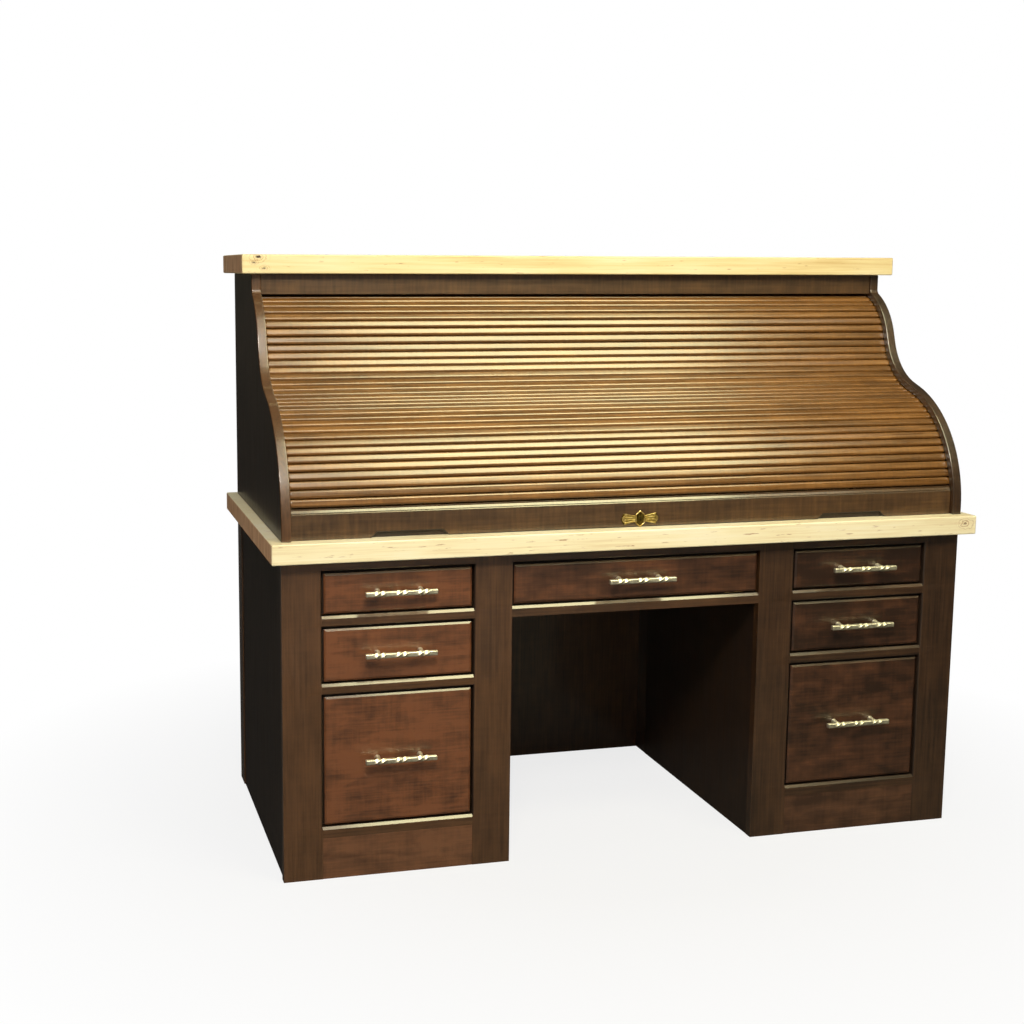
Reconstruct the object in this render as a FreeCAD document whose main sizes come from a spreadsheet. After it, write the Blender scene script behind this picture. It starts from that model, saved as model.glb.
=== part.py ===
import FreeCAD, Part
import math
import os
import re
import Sketcher

# Roll-top desk: two drawer pedestals, a thick desktop, and an S-shaped tambour under an upper slab.
# X runs along the width, -Y is the front, Z is up. The origin is on the floor, under the centre.

doc = FreeCAD.newDocument("roll_top_desk")

# Driving sizes in millimetres. Names that end in angle are degrees, in share are plain ratios.
DRIVING = {
    # desktop slab and how far it stands over the base
    "desk_width": 1676, "desk_depth": 762, "desk_height": 756, "slab_thick": 44, "slab_ease": 3,
    "side_overhang": 25, "front_overhang": 34, "back_overhang": 25,
    # face frames
    "frame_thick": 22, "stile_width": 87, "rail_height": 24, "knee_width": 597,
    "top_opening": 98, "middle_opening": 126, "kick_height": 94,
    # carcase
    "side_thick": 20, "panel_recess": 3, "post_depth": 62, "back_thick": 12, "bottom_thick": 18,
    # drawers
    "front_thick": 20, "front_recess": 3, "front_gap": 3, "front_bevel": 6,
    "drawer_wall": 12, "drawer_floor": 6, "floor_rise": 10, "drawer_clear": 1, "runner_clear": 0.3,
    "headroom": 12, "drawer_length": 600, "centre_length": 450,
    "runner_reach": 25, "guide_width": 20, "guide_height": 20,
    # drawer pulls
    "pull_length": 160, "pull_bar": 10.5, "pull_stand": 28, "post_round": 8, "pull_rise_share": 0.5,
    "twist_share": 0.15,
    # upper slab and header
    "upper_height": 560, "top_thick": 44, "top_overhang": 25, "header_height": 48,
    "header_thick": 18, "header_setback": 4,
    # outline of the roll ends
    "end_thick": 22, "end_setback": 26, "roll_rise": 19, "lower_radius": 285, "shoulder_length": 27,
    "hollow_radius": 150, "brow_radius": 166, "brow_height": 44,
    "shoulder_angle": 19, "lean_angle": 72, "brow_angle": 26,
    # tambour track
    "track_inset": 16, "run_drop": 43, "bend_radius": 150, "rear_radius": 70, "rear_clear": 10,
    "track_end": 20, "groove_depth": 10, "tongue_clear": 0.6,
    # tambour slats and canvas
    "slat_pitch": 19, "slat_back": 18.4, "slat_face": 16.6, "slat_thick": 11, "slat_round": 2,
    "slat_clear": 1, "tongue_thick": 8, "tongue_width": 14, "tongue_length": 8,
    "canvas_thick": 1, "canvas_gap": 0.5, "canvas_inset": 60,
    # lift rail
    "lift_height": 66, "lift_thick": 20, "lift_inset": 12, "lift_clear": 0.3, "lift_end_clear": 1.5,
    "slat_seam": 0.6, "bead_height": 12, "bead_depth": 5,
    "notch_width": 174, "notch_height": 12, "notch_depth": 9, "notch_slope": 14, "notch_place": 530,
    # lock in the lift rail
    "plate_width": 91, "plate_height": 38, "plate_thick": 3, "plate_rise": 19, "plate_bevel": 1,
    "wing_height": 24, "wing_root": 14, "wing_point": 6, "hexagon_width": 22, "hexagon_side": 20,
    "plug_radius": 5, "plug_clear": 0.05, "plug_proud": 1, "keyway_width": 1.6, "keyway_depth": 3,
    "case_width": 44, "case_height": 44, "case_depth": 11, "bolt_width": 12, "bolt_thick": 5,
    "bolt_length": 10, "bolt_clear": 0.3, "bolt_inset": 1, "bolt_throw": 9,
    "strike_width": 44, "strike_depth": 15, "strike_thick": 2,
    # pigeonhole gallery
    "gallery_depth": 235, "gallery_height": 300, "gallery_board": 12, "gallery_panel": 6,
    "gallery_clear": 6, "gallery_back_gap": 12, "shelf_share": 0.42,
    # how far cuts run past a surface, and how closely two places must agree to count as one
    "cut_overrun": 1, "agree_share": 0.001,
}

# Places that follow from the driving sizes.
DERIVED = {
    "slab_half": "desk_width / 2", "front_edge": "-desk_depth / 2", "back_edge": "desk_depth / 2",
    "base_half": "slab_half - side_overhang", "base_top": "desk_height - slab_thick",
    "face_front": "front_edge + front_overhang", "face_back": "face_front + frame_thick",
    "base_back": "back_edge - back_overhang", "panel_front": "base_back - back_thick",
    "knee_half": "knee_width / 2", "side_inner": "base_half - side_thick",
    "inner_far": "knee_half + side_thick",
    "open_outer": "base_half - stile_width", "open_inner": "knee_half + stile_width",
    "top_high": "base_top - rail_height", "top_low": "top_high - top_opening",
    "middle_high": "top_low - rail_height", "middle_low": "middle_high - middle_opening",
    "file_high": "middle_low - rail_height", "file_low": "kick_height + rail_height",
    "front_face": "face_front + front_recess", "front_back": "front_face + front_thick",
    "roll_top": "desk_height + upper_height", "end_inner": "base_half - end_thick",
    "end_front": "front_edge + end_setback", "lift_front": "end_front + lift_inset",
    "lift_back": "lift_front + lift_thick", "lift_low": "desk_height + lift_clear",
    "lift_half": "end_inner - lift_end_clear", "case_front": "lift_back - case_depth",
    "bolt_middle": "lift_back - case_depth / 2", "bolt_low": "lift_low + bolt_inset",
    "plug_height": "lift_low + plate_rise", "bolt_high": "bolt_low + bolt_length",
    "gallery_half": "end_inner - gallery_clear",
    "gallery_rear": "panel_front - rear_clear - slat_thick - gallery_back_gap",
    "gallery_front": "gallery_rear - gallery_depth", "gallery_top": "desk_height + gallery_height",
    "shelf_low": "desk_height + gallery_height * shelf_share",
    # corners of the roll ends' front edge, from the desktop up to the header
    "shoulder_y": "end_front + lower_radius * (1 - sin(shoulder_angle))",
    "shoulder_z": "desk_height + roll_rise + lower_radius * cos(shoulder_angle)",
    "hollow_y": "shoulder_y + shoulder_length * cos(shoulder_angle)",
    "hollow_z": "shoulder_z + shoulder_length * sin(shoulder_angle)",
    "lean_y": "hollow_y + hollow_radius * (sin(lean_angle) - sin(shoulder_angle))",
    "lean_z": "hollow_z + hollow_radius * (cos(shoulder_angle) - cos(lean_angle))",
    "brow_z": "roll_top - brow_height",
    "brow_rise": "brow_radius * (cos(brow_angle) - cos(lean_angle))",
    "brow_run": "brow_radius * (sin(lean_angle) - sin(brow_angle))",
    "lean_length": "(brow_z - lean_z - brow_rise) / sin(lean_angle)",
    "brow_y": "lean_y + lean_length * cos(lean_angle) + brow_run",
}


def bind(text):
    # Each name in a formula gets the name of the sheet that holds it.
    def owner(match):
        word = match.group()
        if word in DRIVING:
            return "sizes." + word
        if word in DERIVED:
            return "places." + word
        return word
    return re.sub(r"[a-z]\w*", owner, text)


def fill(label, table):
    sheet = doc.addObject("Spreadsheet::Sheet", label)
    for row, (name, content) in enumerate(table.items(), 1):
        sheet.set(f"A{row}", name)
        sheet.set(f"B{row}", content)
        sheet.setAlias(f"B{row}", name)
    doc.recompute()
    return sheet


sizes = fill("sizes", {name: str(number) for name, number in DRIVING.items()})
places = fill("places", {name: "=" + bind(text).replace("places.", "") for name, text in DERIVED.items()})
parts = {}


def keep(item, label):
    item.Label = label
    parts[label] = item
    return item


def board(name, x, y, z):
    # A board between six planes, each given as a formula.
    box = doc.addObject("Part::Box", name)
    for size, place, (low, high) in (("Length", "x", x), ("Width", "y", y), ("Height", "z", z)):
        box.setExpression(size, bind(f"({high}) - ({low})"))
        box.setExpression(f"Placement.Base.{place}", bind(low))
    return box


def rod(name, axis, radius, x, y, z, length):
    # A round bar that starts at a place and runs along Y or Z.
    bar = doc.addObject("Part::Cylinder", name)
    bar.setExpression("Radius", bind(radius))
    bar.setExpression("Height", bind(length))
    if axis == "y":
        bar.Placement.Rotation = FreeCAD.Rotation(FreeCAD.Vector(1, 0, 0), -90)
    for letter, formula in (("x", x), ("y", y), ("z", z)):
        bar.setExpression(f"Placement.Base.{letter}", bind(formula))
    return bar


def group(label, items):
    # Separate solids that share one node.
    bundle = doc.addObject("Part::Compound", label)
    bundle.Links = items
    return keep(bundle, label)


def cut(label, base, tools):
    tool = tools[0]
    if len(tools) > 1:
        tool = doc.addObject("Part::MultiFuse", label + "_tools")
        tool.Shapes = tools
    piece = doc.addObject("Part::Cut", label)
    piece.Base = base
    piece.Tool = tool
    return piece


def mirrored(side, low, high):
    # The span of a right-hand piece, or its mirror image on the left.
    if side == "right":
        return (low, high)
    return (f"-({high})", f"-({low})")


def about_middle(half):
    return (f"-({half})", half)


def outline(sketch, corners):
    # A closed outline whose corners are all held by formulas. It starts as a unit polygon.
    count = len(corners)
    turns = [2 * math.pi * k / count for k in range(count)]
    start = [FreeCAD.Vector(math.cos(turn), math.sin(turn), 0) for turn in turns]
    first = sketch.GeometryCount
    for k in range(count):
        sketch.addGeometry(Part.LineSegment(start[k], start[(k + 1) % count]), False)
    for k in range(count):
        after = first + (k + 1) % count
        sketch.addConstraint(Sketcher.Constraint("Coincident", first + k, 2, after, 1))
    for k, (across, up) in enumerate(corners):
        for kind, formula, value in (("DistanceX", across, start[k].x), ("DistanceY", up, start[k].y)):
            row = sketch.addConstraint(Sketcher.Constraint(kind, -1, 1, first + k, 1, value))
            sketch.setExpression(f"Constraints[{row}]", bind(formula))


def rectangle(across, up):
    return [(across[0], up[0]), (across[1], up[0]), (across[1], up[1]), (across[0], up[1])]


def sketch_on(body, name, role, offset):
    sketch = body.newObject("Sketcher::SketchObject", name)
    plane = next(item for item in body.Origin.OriginFeatures if item.Role == role)
    sketch.AttachmentSupport = (plane, "")
    sketch.MapMode = "FlatFace"
    sketch.setExpression("AttachmentOffset.Base.z", bind(offset))
    return sketch


def padded(label, role, offset, outlines, length, symmetric=False):
    body = doc.addObject("PartDesign::Body", label)
    sketch = sketch_on(body, label + "_outline", role, offset)
    for corners in outlines:
        outline(sketch, corners)
    pad = body.newObject("PartDesign::Pad", label + "_pad")
    pad.Profile = sketch
    pad.setExpression("Length", bind(length))
    if symmetric:
        pad.SideType = "Symmetric"
    doc.recompute()
    return body, pad


def eased(body, feature, size, wanted):
    # A chamfer on the edges whose ends all pass a test.
    names = []
    for number, edge in enumerate(feature.Shape.Edges, 1):
        if all(wanted(vertex.Point) for vertex in edge.Vertexes):
            names.append(f"Edge{number}")
    ease = body.newObject("PartDesign::Chamfer", body.Name + "_chamfer")
    ease.Base = (feature, names)
    ease.setExpression("Size", bind(size))
    doc.recompute()
    return ease


def near(one, other):
    return abs(one - other) < sizes.cut_overrun * sizes.agree_share


# Base: sides, posts, backs, bottoms and kick boards
depth_face = ("face_front", "face_back")
rail_spans = {"top": ("top_high", "base_top"), "second": ("middle_high", "top_low"),
              "third": ("file_high", "middle_low"), "lower": ("kick_height", "file_low")}

for side in ("left", "right"):
    outer = mirrored(side, "side_inner", "base_half - panel_recess")
    keep(board(side + "_outer_side", outer, ("face_back", "base_back - post_depth"), ("0", "base_top")),
         side + "_outer_side")
    inner = mirrored(side, "knee_half", "inner_far")
    keep(board(side + "_knee_side", inner, ("face_back", "panel_front - post_depth"), ("0", "base_top")),
         side + "_knee_side")

posts = []
kicks = []
bottoms = []
for side in ("left", "right"):
    posts.append(board(side + "_outer_post", mirrored(side, "side_inner", "base_half"),
                       ("base_back - post_depth", "base_back"), ("0", "base_top")))
    posts.append(board(side + "_knee_post", mirrored(side, "knee_half", "inner_far"),
                       ("panel_front - post_depth", "panel_front"), ("0", "base_top")))
    kicks.append(board(side + "_kick", mirrored(side, "open_inner", "open_outer"),
                       depth_face, ("0", "kick_height")))
    bottoms.append(board(side + "_bottom", mirrored(side, "inner_far", "side_inner"),
                         ("face_back", "panel_front"), ("kick_height - bottom_thick", "kick_height")))
group("rear_posts", posts)
group("kick_boards", kicks)
group("pedestal_bottoms", bottoms)
keep(board("back_panel", about_middle("side_inner"), ("panel_front", "base_back"), ("0", "base_top")),
     "back_panel")

# Face frames: two stiles and four rails round each pedestal's drawers, two rails over the knee
for side in ("left", "right"):
    pieces = [board(side + "_outer_stile", mirrored(side, "open_outer", "base_half"),
                    depth_face, ("0", "base_top")),
              board(side + "_knee_stile", mirrored(side, "knee_half", "open_inner"),
                    depth_face, ("0", "base_top"))]
    for name, span in rail_spans.items():
        pieces.append(board(f"{side}_{name}_rail", mirrored(side, "open_inner", "open_outer"),
                            depth_face, span))
    group(side + "_face_frame", pieces)
group("knee_rails", [board(f"knee_{name}_rail", about_middle("knee_half"), depth_face, rail_spans[name])
                     for name in ("top", "second")])

# Drawer runners at the height of each rail, with a guide strip behind each stile
drawer_levels = {"top": ("top_low", "top_high"), "middle": ("middle_low", "middle_high"),
                 "file": ("file_low", "file_high")}
runner_depth = ("face_back", "panel_front")
for side in ("left", "right"):
    pieces = []
    for level, (low, high) in drawer_levels.items():
        name = f"{side}_{level}"
        slab = (f"{low} - rail_height", low)
        strip = (low, f"{low} + guide_height")
        pieces.append(board(name + "_outer_runner", mirrored(side, "open_outer - runner_reach", "side_inner"),
                            runner_depth, slab))
        pieces.append(board(name + "_knee_runner", mirrored(side, "inner_far", "open_inner + runner_reach"),
                            runner_depth, slab))
        pieces.append(board(name + "_outer_guide", mirrored(side, "open_outer", "open_outer + guide_width"),
                            runner_depth, strip))
        pieces.append(board(name + "_knee_guide", mirrored(side, "open_inner - guide_width", "open_inner"),
                            runner_depth, strip))
    group(side + "_runners", pieces)
group("centre_runners", [board(side + "_centre_runner",
                               mirrored(side, "knee_half - runner_reach", "knee_half"),
                               runner_depth, ("top_low - rail_height", "top_low"))
                         for side in ("left", "right")])


# Drawers: a bevelled inset front, a box of five boards and a twisted bar pull
def pull_shape():
    # A square bar with three half turns, on two round posts. It lies along X, posts towards +Y.
    half = sizes.pull_bar / 2
    twists = (0.2, 0.5, 0.8)
    steps = 4
    stations = [(0.0, 0.0)]
    turned = 0.0
    for share in twists:
        for step in range(steps + 1):
            along = share + sizes.twist_share * (step / steps - 0.5)
            stations.append((along, turned + math.pi * step / steps))
        turned += math.pi
    stations.append((1.0, turned))
    rings = []
    for along, turn in stations:
        ring = []
        for corner in range(4):
            angle = turn + math.pi / 4 + corner * math.pi / 2
            reach = half * math.sqrt(2)
            ring.append(FreeCAD.Vector((along - 0.5) * sizes.pull_length,
                                       reach * math.cos(angle), reach * math.sin(angle)))
        rings.append(ring)
    # each twisted step has two flat facets on each of the bar's four sides
    facets = [rings[0][::-1], rings[-1]]
    for near_ring, far_ring in zip(rings, rings[1:]):
        for k in range(4):
            after = (k + 1) % 4
            facets.append([near_ring[k], near_ring[after], far_ring[after]])
            facets.append([near_ring[k], far_ring[after], far_ring[k]])
    walls = [Part.Face(Part.makePolygon(facet + facet[:1])) for facet in facets]
    shape = Part.Solid(Part.Shell(walls))
    for share in (twists[0], twists[-1]):
        foot = FreeCAD.Vector((share - 0.5) * sizes.pull_length, sizes.pull_stand, 0)
        shape = shape.fuse(Part.makeCylinder(sizes.post_round / 2, sizes.pull_stand, foot,
                                             FreeCAD.Vector(0, -1, 0)))
    return shape


pull_solid = pull_shape()


def drawer(name, x, low, high, length):
    gap = "front_gap"
    face = rectangle((f"{x[0]} + {gap}", f"{x[1]} - {gap}"), (f"{low} + {gap}", f"{high} - {gap}"))
    body, pad = padded(name + "_front", "XZ_Plane", "-front_back", [face], "front_thick")
    eased(body, pad, "front_bevel", lambda point: near(point.y, places.front_face))
    keep(body, name + "_front")
    left = (f"{x[0]} + drawer_clear", f"{x[0]} + drawer_clear + drawer_wall")
    right = (f"{x[1]} - drawer_clear - drawer_wall", f"{x[1]} - drawer_clear")
    inside = (left[1], right[0])
    end = f"front_back + {length}"
    tall = (f"{low} + runner_clear", f"{high} - headroom")
    group(name + "_box", [
        board(name + "_left_wall", left, ("front_back", end), tall),
        board(name + "_right_wall", right, ("front_back", end), tall),
        board(name + "_inner_front", inside, ("front_back", "front_back + drawer_wall"), tall),
        board(name + "_back_wall", inside, (f"{end} - drawer_wall", end), tall),
        board(name + "_floor", inside, ("front_back + drawer_wall", f"{end} - drawer_wall"),
              (f"{low} + floor_rise", f"{low} + floor_rise + drawer_floor"))])
    pull = doc.addObject("Part::Feature", name + "_pull")
    pull.Shape = pull_solid
    pull.setExpression("Placement.Base.x", bind(f"({x[0]} + {x[1]}) / 2"))
    pull.setExpression("Placement.Base.y", bind("front_face - pull_stand"))
    pull.setExpression("Placement.Base.z", bind(f"{low} + ({high} - {low}) * pull_rise_share"))
    keep(pull, name + "_pull")


for side in ("left", "right"):
    for level, (low, high) in drawer_levels.items():
        drawer(f"{side}_{level}", mirrored(side, "open_inner", "open_outer"), low, high, "drawer_length")
drawer("centre", about_middle("knee_half"), "top_low", "top_high", "centre_length")

# Desktop and upper slab, with eased edges
slab, slab_pad = padded("desktop_slab", "XY_Plane", "base_top",
                        [rectangle(about_middle("slab_half"), ("front_edge", "back_edge"))], "slab_thick")
eased(slab, slab_pad, "slab_ease", lambda point: True)
strike_seat = board("strike_seat", about_middle("strike_width / 2"),
                    ("bolt_middle - strike_depth / 2", "bolt_middle + strike_depth / 2"),
                    ("desk_height - strike_thick", "desk_height + cut_overrun"))
bolt_hole = board("bolt_hole", about_middle("bolt_width / 2 + bolt_clear"),
                  ("bolt_middle - bolt_thick / 2 - bolt_clear", "bolt_middle + bolt_thick / 2 + bolt_clear"),
                  ("desk_height - bolt_throw - strike_thick", "desk_height + cut_overrun"))
keep(cut("desktop", slab, [strike_seat, bolt_hole]), "desktop")
strike = board("strike_blank", about_middle("strike_width / 2"),
               ("bolt_middle - strike_depth / 2", "bolt_middle + strike_depth / 2"),
               ("desk_height - strike_thick", "desk_height"))
keep(cut("strike_plate", strike, [bolt_hole]), "strike_plate")

upper, upper_pad = padded("upper_slab", "XY_Plane", "roll_top",
                          [rectangle(about_middle("slab_half"), ("brow_y - top_overhang", "back_edge"))],
                          "top_thick")
eased(upper, upper_pad, "slab_ease", lambda point: True)
keep(upper, "upper_slab")
keep(board("header_rail", about_middle("end_inner"),
           ("brow_y + header_setback", "brow_y + header_setback + header_thick"),
           ("roll_top - header_height", "roll_top")), "header_rail")
keep(board("upper_back", about_middle("end_inner"), ("panel_front", "base_back"),
           ("desk_height", "roll_top")), "upper_back")


class Trail:
    # Straight runs and tangent arcs in the Y-Z plane, starting upwards. A negative turn bends backwards.
    def __init__(self, y, z):
        self.y = y
        self.z = z
        self.heading = 90.0
        self.stretches = []

    def place(self, y, z):
        return FreeCAD.Vector(0, y, z)

    def step(self, length, radius, turn):
        # Where a stretch ends, after a length along it.
        start = math.radians(self.heading)
        if radius is None:
            return self.y + length * math.cos(start), self.z + length * math.sin(start), self.heading
        sign = math.copysign(1, turn)
        end = start + sign * length / radius
        return (self.y + sign * radius * (math.sin(end) - math.sin(start)),
                self.z - sign * radius * (math.cos(end) - math.cos(start)), math.degrees(end))

    def add(self, length, radius=None, turn=0):
        stretch = Trail(self.y, self.z)
        stretch.heading = self.heading
        stretch.length = length
        stretch.radius = radius
        stretch.turn = turn
        self.stretches.append(stretch)
        self.y, self.z, self.heading = stretch.step(length, radius, turn)

    def line(self, length):
        self.add(length)

    def arc(self, radius, turn):
        self.add(radius * math.radians(abs(turn)), radius, turn)

    def edges(self):
        made = []
        for stretch in self.stretches:
            start = self.place(stretch.y, stretch.z)
            end = self.place(*stretch.step(stretch.length, stretch.radius, stretch.turn)[:2])
            if stretch.radius is None:
                made.append(Part.LineSegment(start, end).toShape())
            else:
                middle = self.place(*stretch.step(stretch.length / 2, stretch.radius, stretch.turn)[:2])
                made.append(Part.Arc(start, middle, end).toShape())
        return made

    def at(self, distance):
        # The point and heading at a distance from the start.
        for stretch in self.stretches:
            if distance <= stretch.length or stretch is self.stretches[-1]:
                return stretch.step(distance, stretch.radius, stretch.turn)
            distance -= stretch.length


def roll_edge():
    # The front edge of a roll end: upright, round shoulder, hollow, lean and brow.
    trail = Trail(places.end_front, sizes.desk_height)
    trail.line(sizes.roll_rise)
    trail.arc(sizes.lower_radius, sizes.shoulder_angle - 90)
    trail.line(sizes.shoulder_length)
    trail.arc(sizes.hollow_radius, sizes.lean_angle - sizes.shoulder_angle)
    trail.line(places.lean_length)
    trail.arc(sizes.brow_radius, sizes.brow_angle - sizes.lean_angle)
    trail.heading = 90.0
    trail.line(sizes.brow_height)
    return trail


def slat_track(ahead):
    # The line that the slats' backs follow, or one that lies ahead of it by a distance.
    inset = sizes.track_inset + sizes.slat_thick - ahead
    bend = sizes.bend_radius - sizes.slat_thick + ahead
    rear = sizes.rear_radius - sizes.slat_thick + ahead
    trail = Trail(places.end_front + inset, sizes.desk_height)
    trail.line(sizes.roll_rise)
    trail.arc(sizes.lower_radius - inset, sizes.shoulder_angle - 90)
    trail.line(sizes.shoulder_length)
    trail.arc(sizes.hollow_radius + inset, sizes.lean_angle - sizes.shoulder_angle)
    run_height = places.roll_top - sizes.run_drop - sizes.slat_thick + ahead
    lean = math.radians(sizes.lean_angle)
    trail.line((run_height - trail.z - bend * (1 - math.cos(lean))) / math.sin(lean))
    trail.arc(bend, -sizes.lean_angle)
    rear_line = places.panel_front - sizes.rear_clear - sizes.slat_thick + ahead
    trail.line(rear_line - rear - trail.y)
    trail.arc(rear, -90)
    trail.line(trail.z - sizes.desk_height - sizes.track_end)
    return trail


def face_of(label, edges):
    face = doc.addObject("Part::Feature", label)
    face.Shape = Part.Face(Part.Wire(Part.__sortEdges__(edges)))
    return face


def joined(one, other):
    return Part.LineSegment(FreeCAD.Vector(one), FreeCAD.Vector(other)).toShape()


def extruded(name, face, start, length):
    solid = doc.addObject("Part::Extrusion", name)
    solid.Base = face
    solid.DirMode = "Custom"
    solid.Dir = FreeCAD.Vector(1, 0, 0)
    solid.Solid = True
    solid.setExpression("LengthFwd", bind(length))
    solid.setExpression("Placement.Base.x", bind(start))
    return solid


# Roll ends: an S-shaped board with a routed groove for the slats' tongues
edge = roll_edge()
lowest = (0, places.end_front, sizes.desk_height)
back_low = (0, places.base_back, sizes.desk_height)
back_high = (0, places.base_back, places.roll_top)
end_face = face_of("roll_end_outline", edge.edges() + [joined((0, edge.y, edge.z), back_high),
                                                      joined(back_high, back_low), joined(back_low, lowest)])
slack = (sizes.slat_thick - sizes.tongue_thick) / 2 - sizes.tongue_clear
near_line = slat_track(slack)
far_line = slat_track(sizes.slat_thick - slack)
near_start = near_line.stretches[0]
far_start = far_line.stretches[0]
groove_face = face_of("groove_outline", near_line.edges() + far_line.edges() + [
    joined((0, near_start.y, near_start.z), (0, far_start.y, far_start.z)),
    joined((0, near_line.y, near_line.z), (0, far_line.y, far_line.z))])
for side, outer, mouth in (("left", "-base_half", "-end_inner - groove_depth"),
                           ("right", "end_inner", "end_inner")):
    blank = extruded(side + "_end_blank", end_face, outer, "end_thick")
    groove = extruded(side + "_groove", groove_face, mouth, "groove_depth")
    keep(cut(side + "_roll_end", blank, [groove]), side + "_roll_end")


# Tambour: flat slats with rounded front edges and end tongues, on stretches of canvas
def slat_shape():
    back = sizes.slat_back / 2
    front = sizes.slat_face / 2
    top = sizes.slat_thick
    ease = sizes.slat_round
    half = places.end_inner - sizes.slat_clear
    diagonal = ease * (1 - math.sqrt(0.5))

    def corner(across, up):
        return FreeCAD.Vector(-half, across, up)

    right = Part.Arc(corner(front, top - ease), corner(front - diagonal, top - diagonal),
                     corner(front - ease, top)).toShape()
    left = Part.Arc(corner(ease - front, top), corner(diagonal - front, top - diagonal),
                    corner(-front, top - ease)).toShape()
    sides = [joined(corner(-back, 0), corner(back, 0)),
             joined(corner(back, 0), corner(front, top - ease)), right,
             joined(corner(front - ease, top), corner(ease - front, top)), left,
             joined(corner(-front, top - ease), corner(-back, 0))]
    slat = Part.Face(Part.Wire(sides)).extrude(FreeCAD.Vector(2 * half, 0, 0))
    reach = places.end_inner + sizes.tongue_length
    tongue = Part.makeBox(2 * reach, sizes.tongue_width, sizes.tongue_thick,
                          FreeCAD.Vector(-reach, -sizes.tongue_width / 2, (top - sizes.tongue_thick) / 2))
    return slat.fuse(tongue).removeSplitter()


def canvas_shape(track, distances):
    # A thin sheet a little behind the slats' backs, bent from slat to slat.
    half = places.end_inner - sizes.canvas_inset
    sheet = []
    for depth in (sizes.canvas_gap, sizes.canvas_gap + sizes.canvas_thick):
        row = []
        for distance in distances:
            y, z, heading = track.at(distance)
            angle = math.radians(heading)
            row.append(FreeCAD.Vector(-half, y + depth * math.sin(angle), z - depth * math.cos(angle)))
        sheet.append(row)
    loop = sheet[0] + sheet[1][::-1]
    return Part.Face(Part.makePolygon(loop + loop[:1])).extrude(FreeCAD.Vector(2 * half, 0, 0))


slat_groups = 9
slats_in_group = 4
track = slat_track(0)
slat = slat_shape()
first_slat = sizes.lift_clear + sizes.lift_height + sizes.slat_seam
for number in range(slat_groups):
    begin = first_slat + number * slats_in_group * sizes.slat_pitch
    solids = []
    for k in range(slats_in_group):
        y, z, heading = track.at(begin + (k + 0.5) * sizes.slat_pitch)
        copy = slat.copy()
        copy.Placement = FreeCAD.Placement(FreeCAD.Vector(0, y, z),
                                           FreeCAD.Rotation(FreeCAD.Vector(1, 0, 0), heading))
        solids.append(copy)
    stops = [begin + k * sizes.slat_pitch for k in range(slats_in_group + 1)]
    stops[0] += sizes.canvas_gap
    stops[-1] -= sizes.canvas_gap
    solids.append(canvas_shape(track, stops))
    node = doc.addObject("Part::Feature", f"tambour_slats_{number + 1}")
    node.Shape = Part.makeCompound(solids)
    keep(node, f"tambour_slats_{number + 1}")

# Lift rail: stepped top edge, two finger notches in its face, a mortise for the lock and a hole for its plug
step_share = 0.45
rail_top = "lift_low + lift_height"
step_low = f"{rail_top} - bead_height"
rail_profile = [("lift_front", "lift_low"), ("lift_front", step_low),
                (f"lift_front + bead_depth * {step_share}", step_low),
                (f"lift_front + bead_depth * {step_share}", f"{rail_top} - bead_height * (1 - {step_share})"),
                ("lift_front + bead_depth", f"{rail_top} - bead_height * (1 - {step_share})"),
                ("lift_front + bead_depth", rail_top), ("lift_back", rail_top), ("lift_back", "lift_low")]
rail, rail_pad = padded("lift_rail_body", "YZ_Plane", "0", [rail_profile], "2 * lift_half", symmetric=True)
notches = sketch_on(rail, "finger_notches", "XZ_Plane", "-(lift_front + notch_depth)")
for way in ("-", ""):
    middle = f"{way}notch_place"
    outline(notches, [(f"{middle} - notch_width / 2", "lift_low - cut_overrun"),
                      (f"{middle} + notch_width / 2", "lift_low - cut_overrun"),
                      (f"{middle} + notch_width / 2 - notch_slope", "lift_low + notch_height"),
                      (f"{middle} - notch_width / 2 + notch_slope", "lift_low + notch_height")])
pocket = rail.newObject("PartDesign::Pocket", "notch_pocket")
pocket.Profile = notches
pocket.Type = "ThroughAll"
pocket.Reversed = True
doc.recompute()
mortise = board("lock_mortise", about_middle("case_width / 2"), ("case_front", "lift_back + cut_overrun"),
                ("lift_low - cut_overrun", "lift_low + case_height"))
plug_bore = rod("plug_bore", "y", "plug_radius + plug_clear", "0", "lift_front - plate_thick - cut_overrun",
                "plug_height", "lift_thick + plate_thick + 2 * cut_overrun")
keep(cut("lift_rail", rail, [mortise, plug_bore]), "lift_rail")

# Lock: a bow-tie plate in front, a case in the mortise, a plug that turns and a bolt that drops
wing = "plate_width / 2"
bow = [("hexagon_width / 2", "-wing_root / 2"), (f"{wing} - wing_point", "-wing_height / 2"), (wing, "0"),
       (f"{wing} - wing_point", "wing_height / 2"), ("hexagon_width / 2", "wing_root / 2"),
       ("hexagon_width / 2", "hexagon_side / 2"), ("0", "plate_height / 2")]
left_bow = [(f"-({across})", f"-({up})") for across, up in bow]
raised = [(across, f"plug_height + {up}") for across, up in bow + left_bow]
plate, plate_pad = padded("escutcheon_body", "XZ_Plane", "-lift_front", [raised], "plate_thick")
eased(plate, plate_pad, "plate_bevel",
      lambda point: near(point.y, places.lift_front - sizes.plate_thick))
keep(cut("escutcheon", plate, [plug_bore]), "escutcheon")

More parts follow.
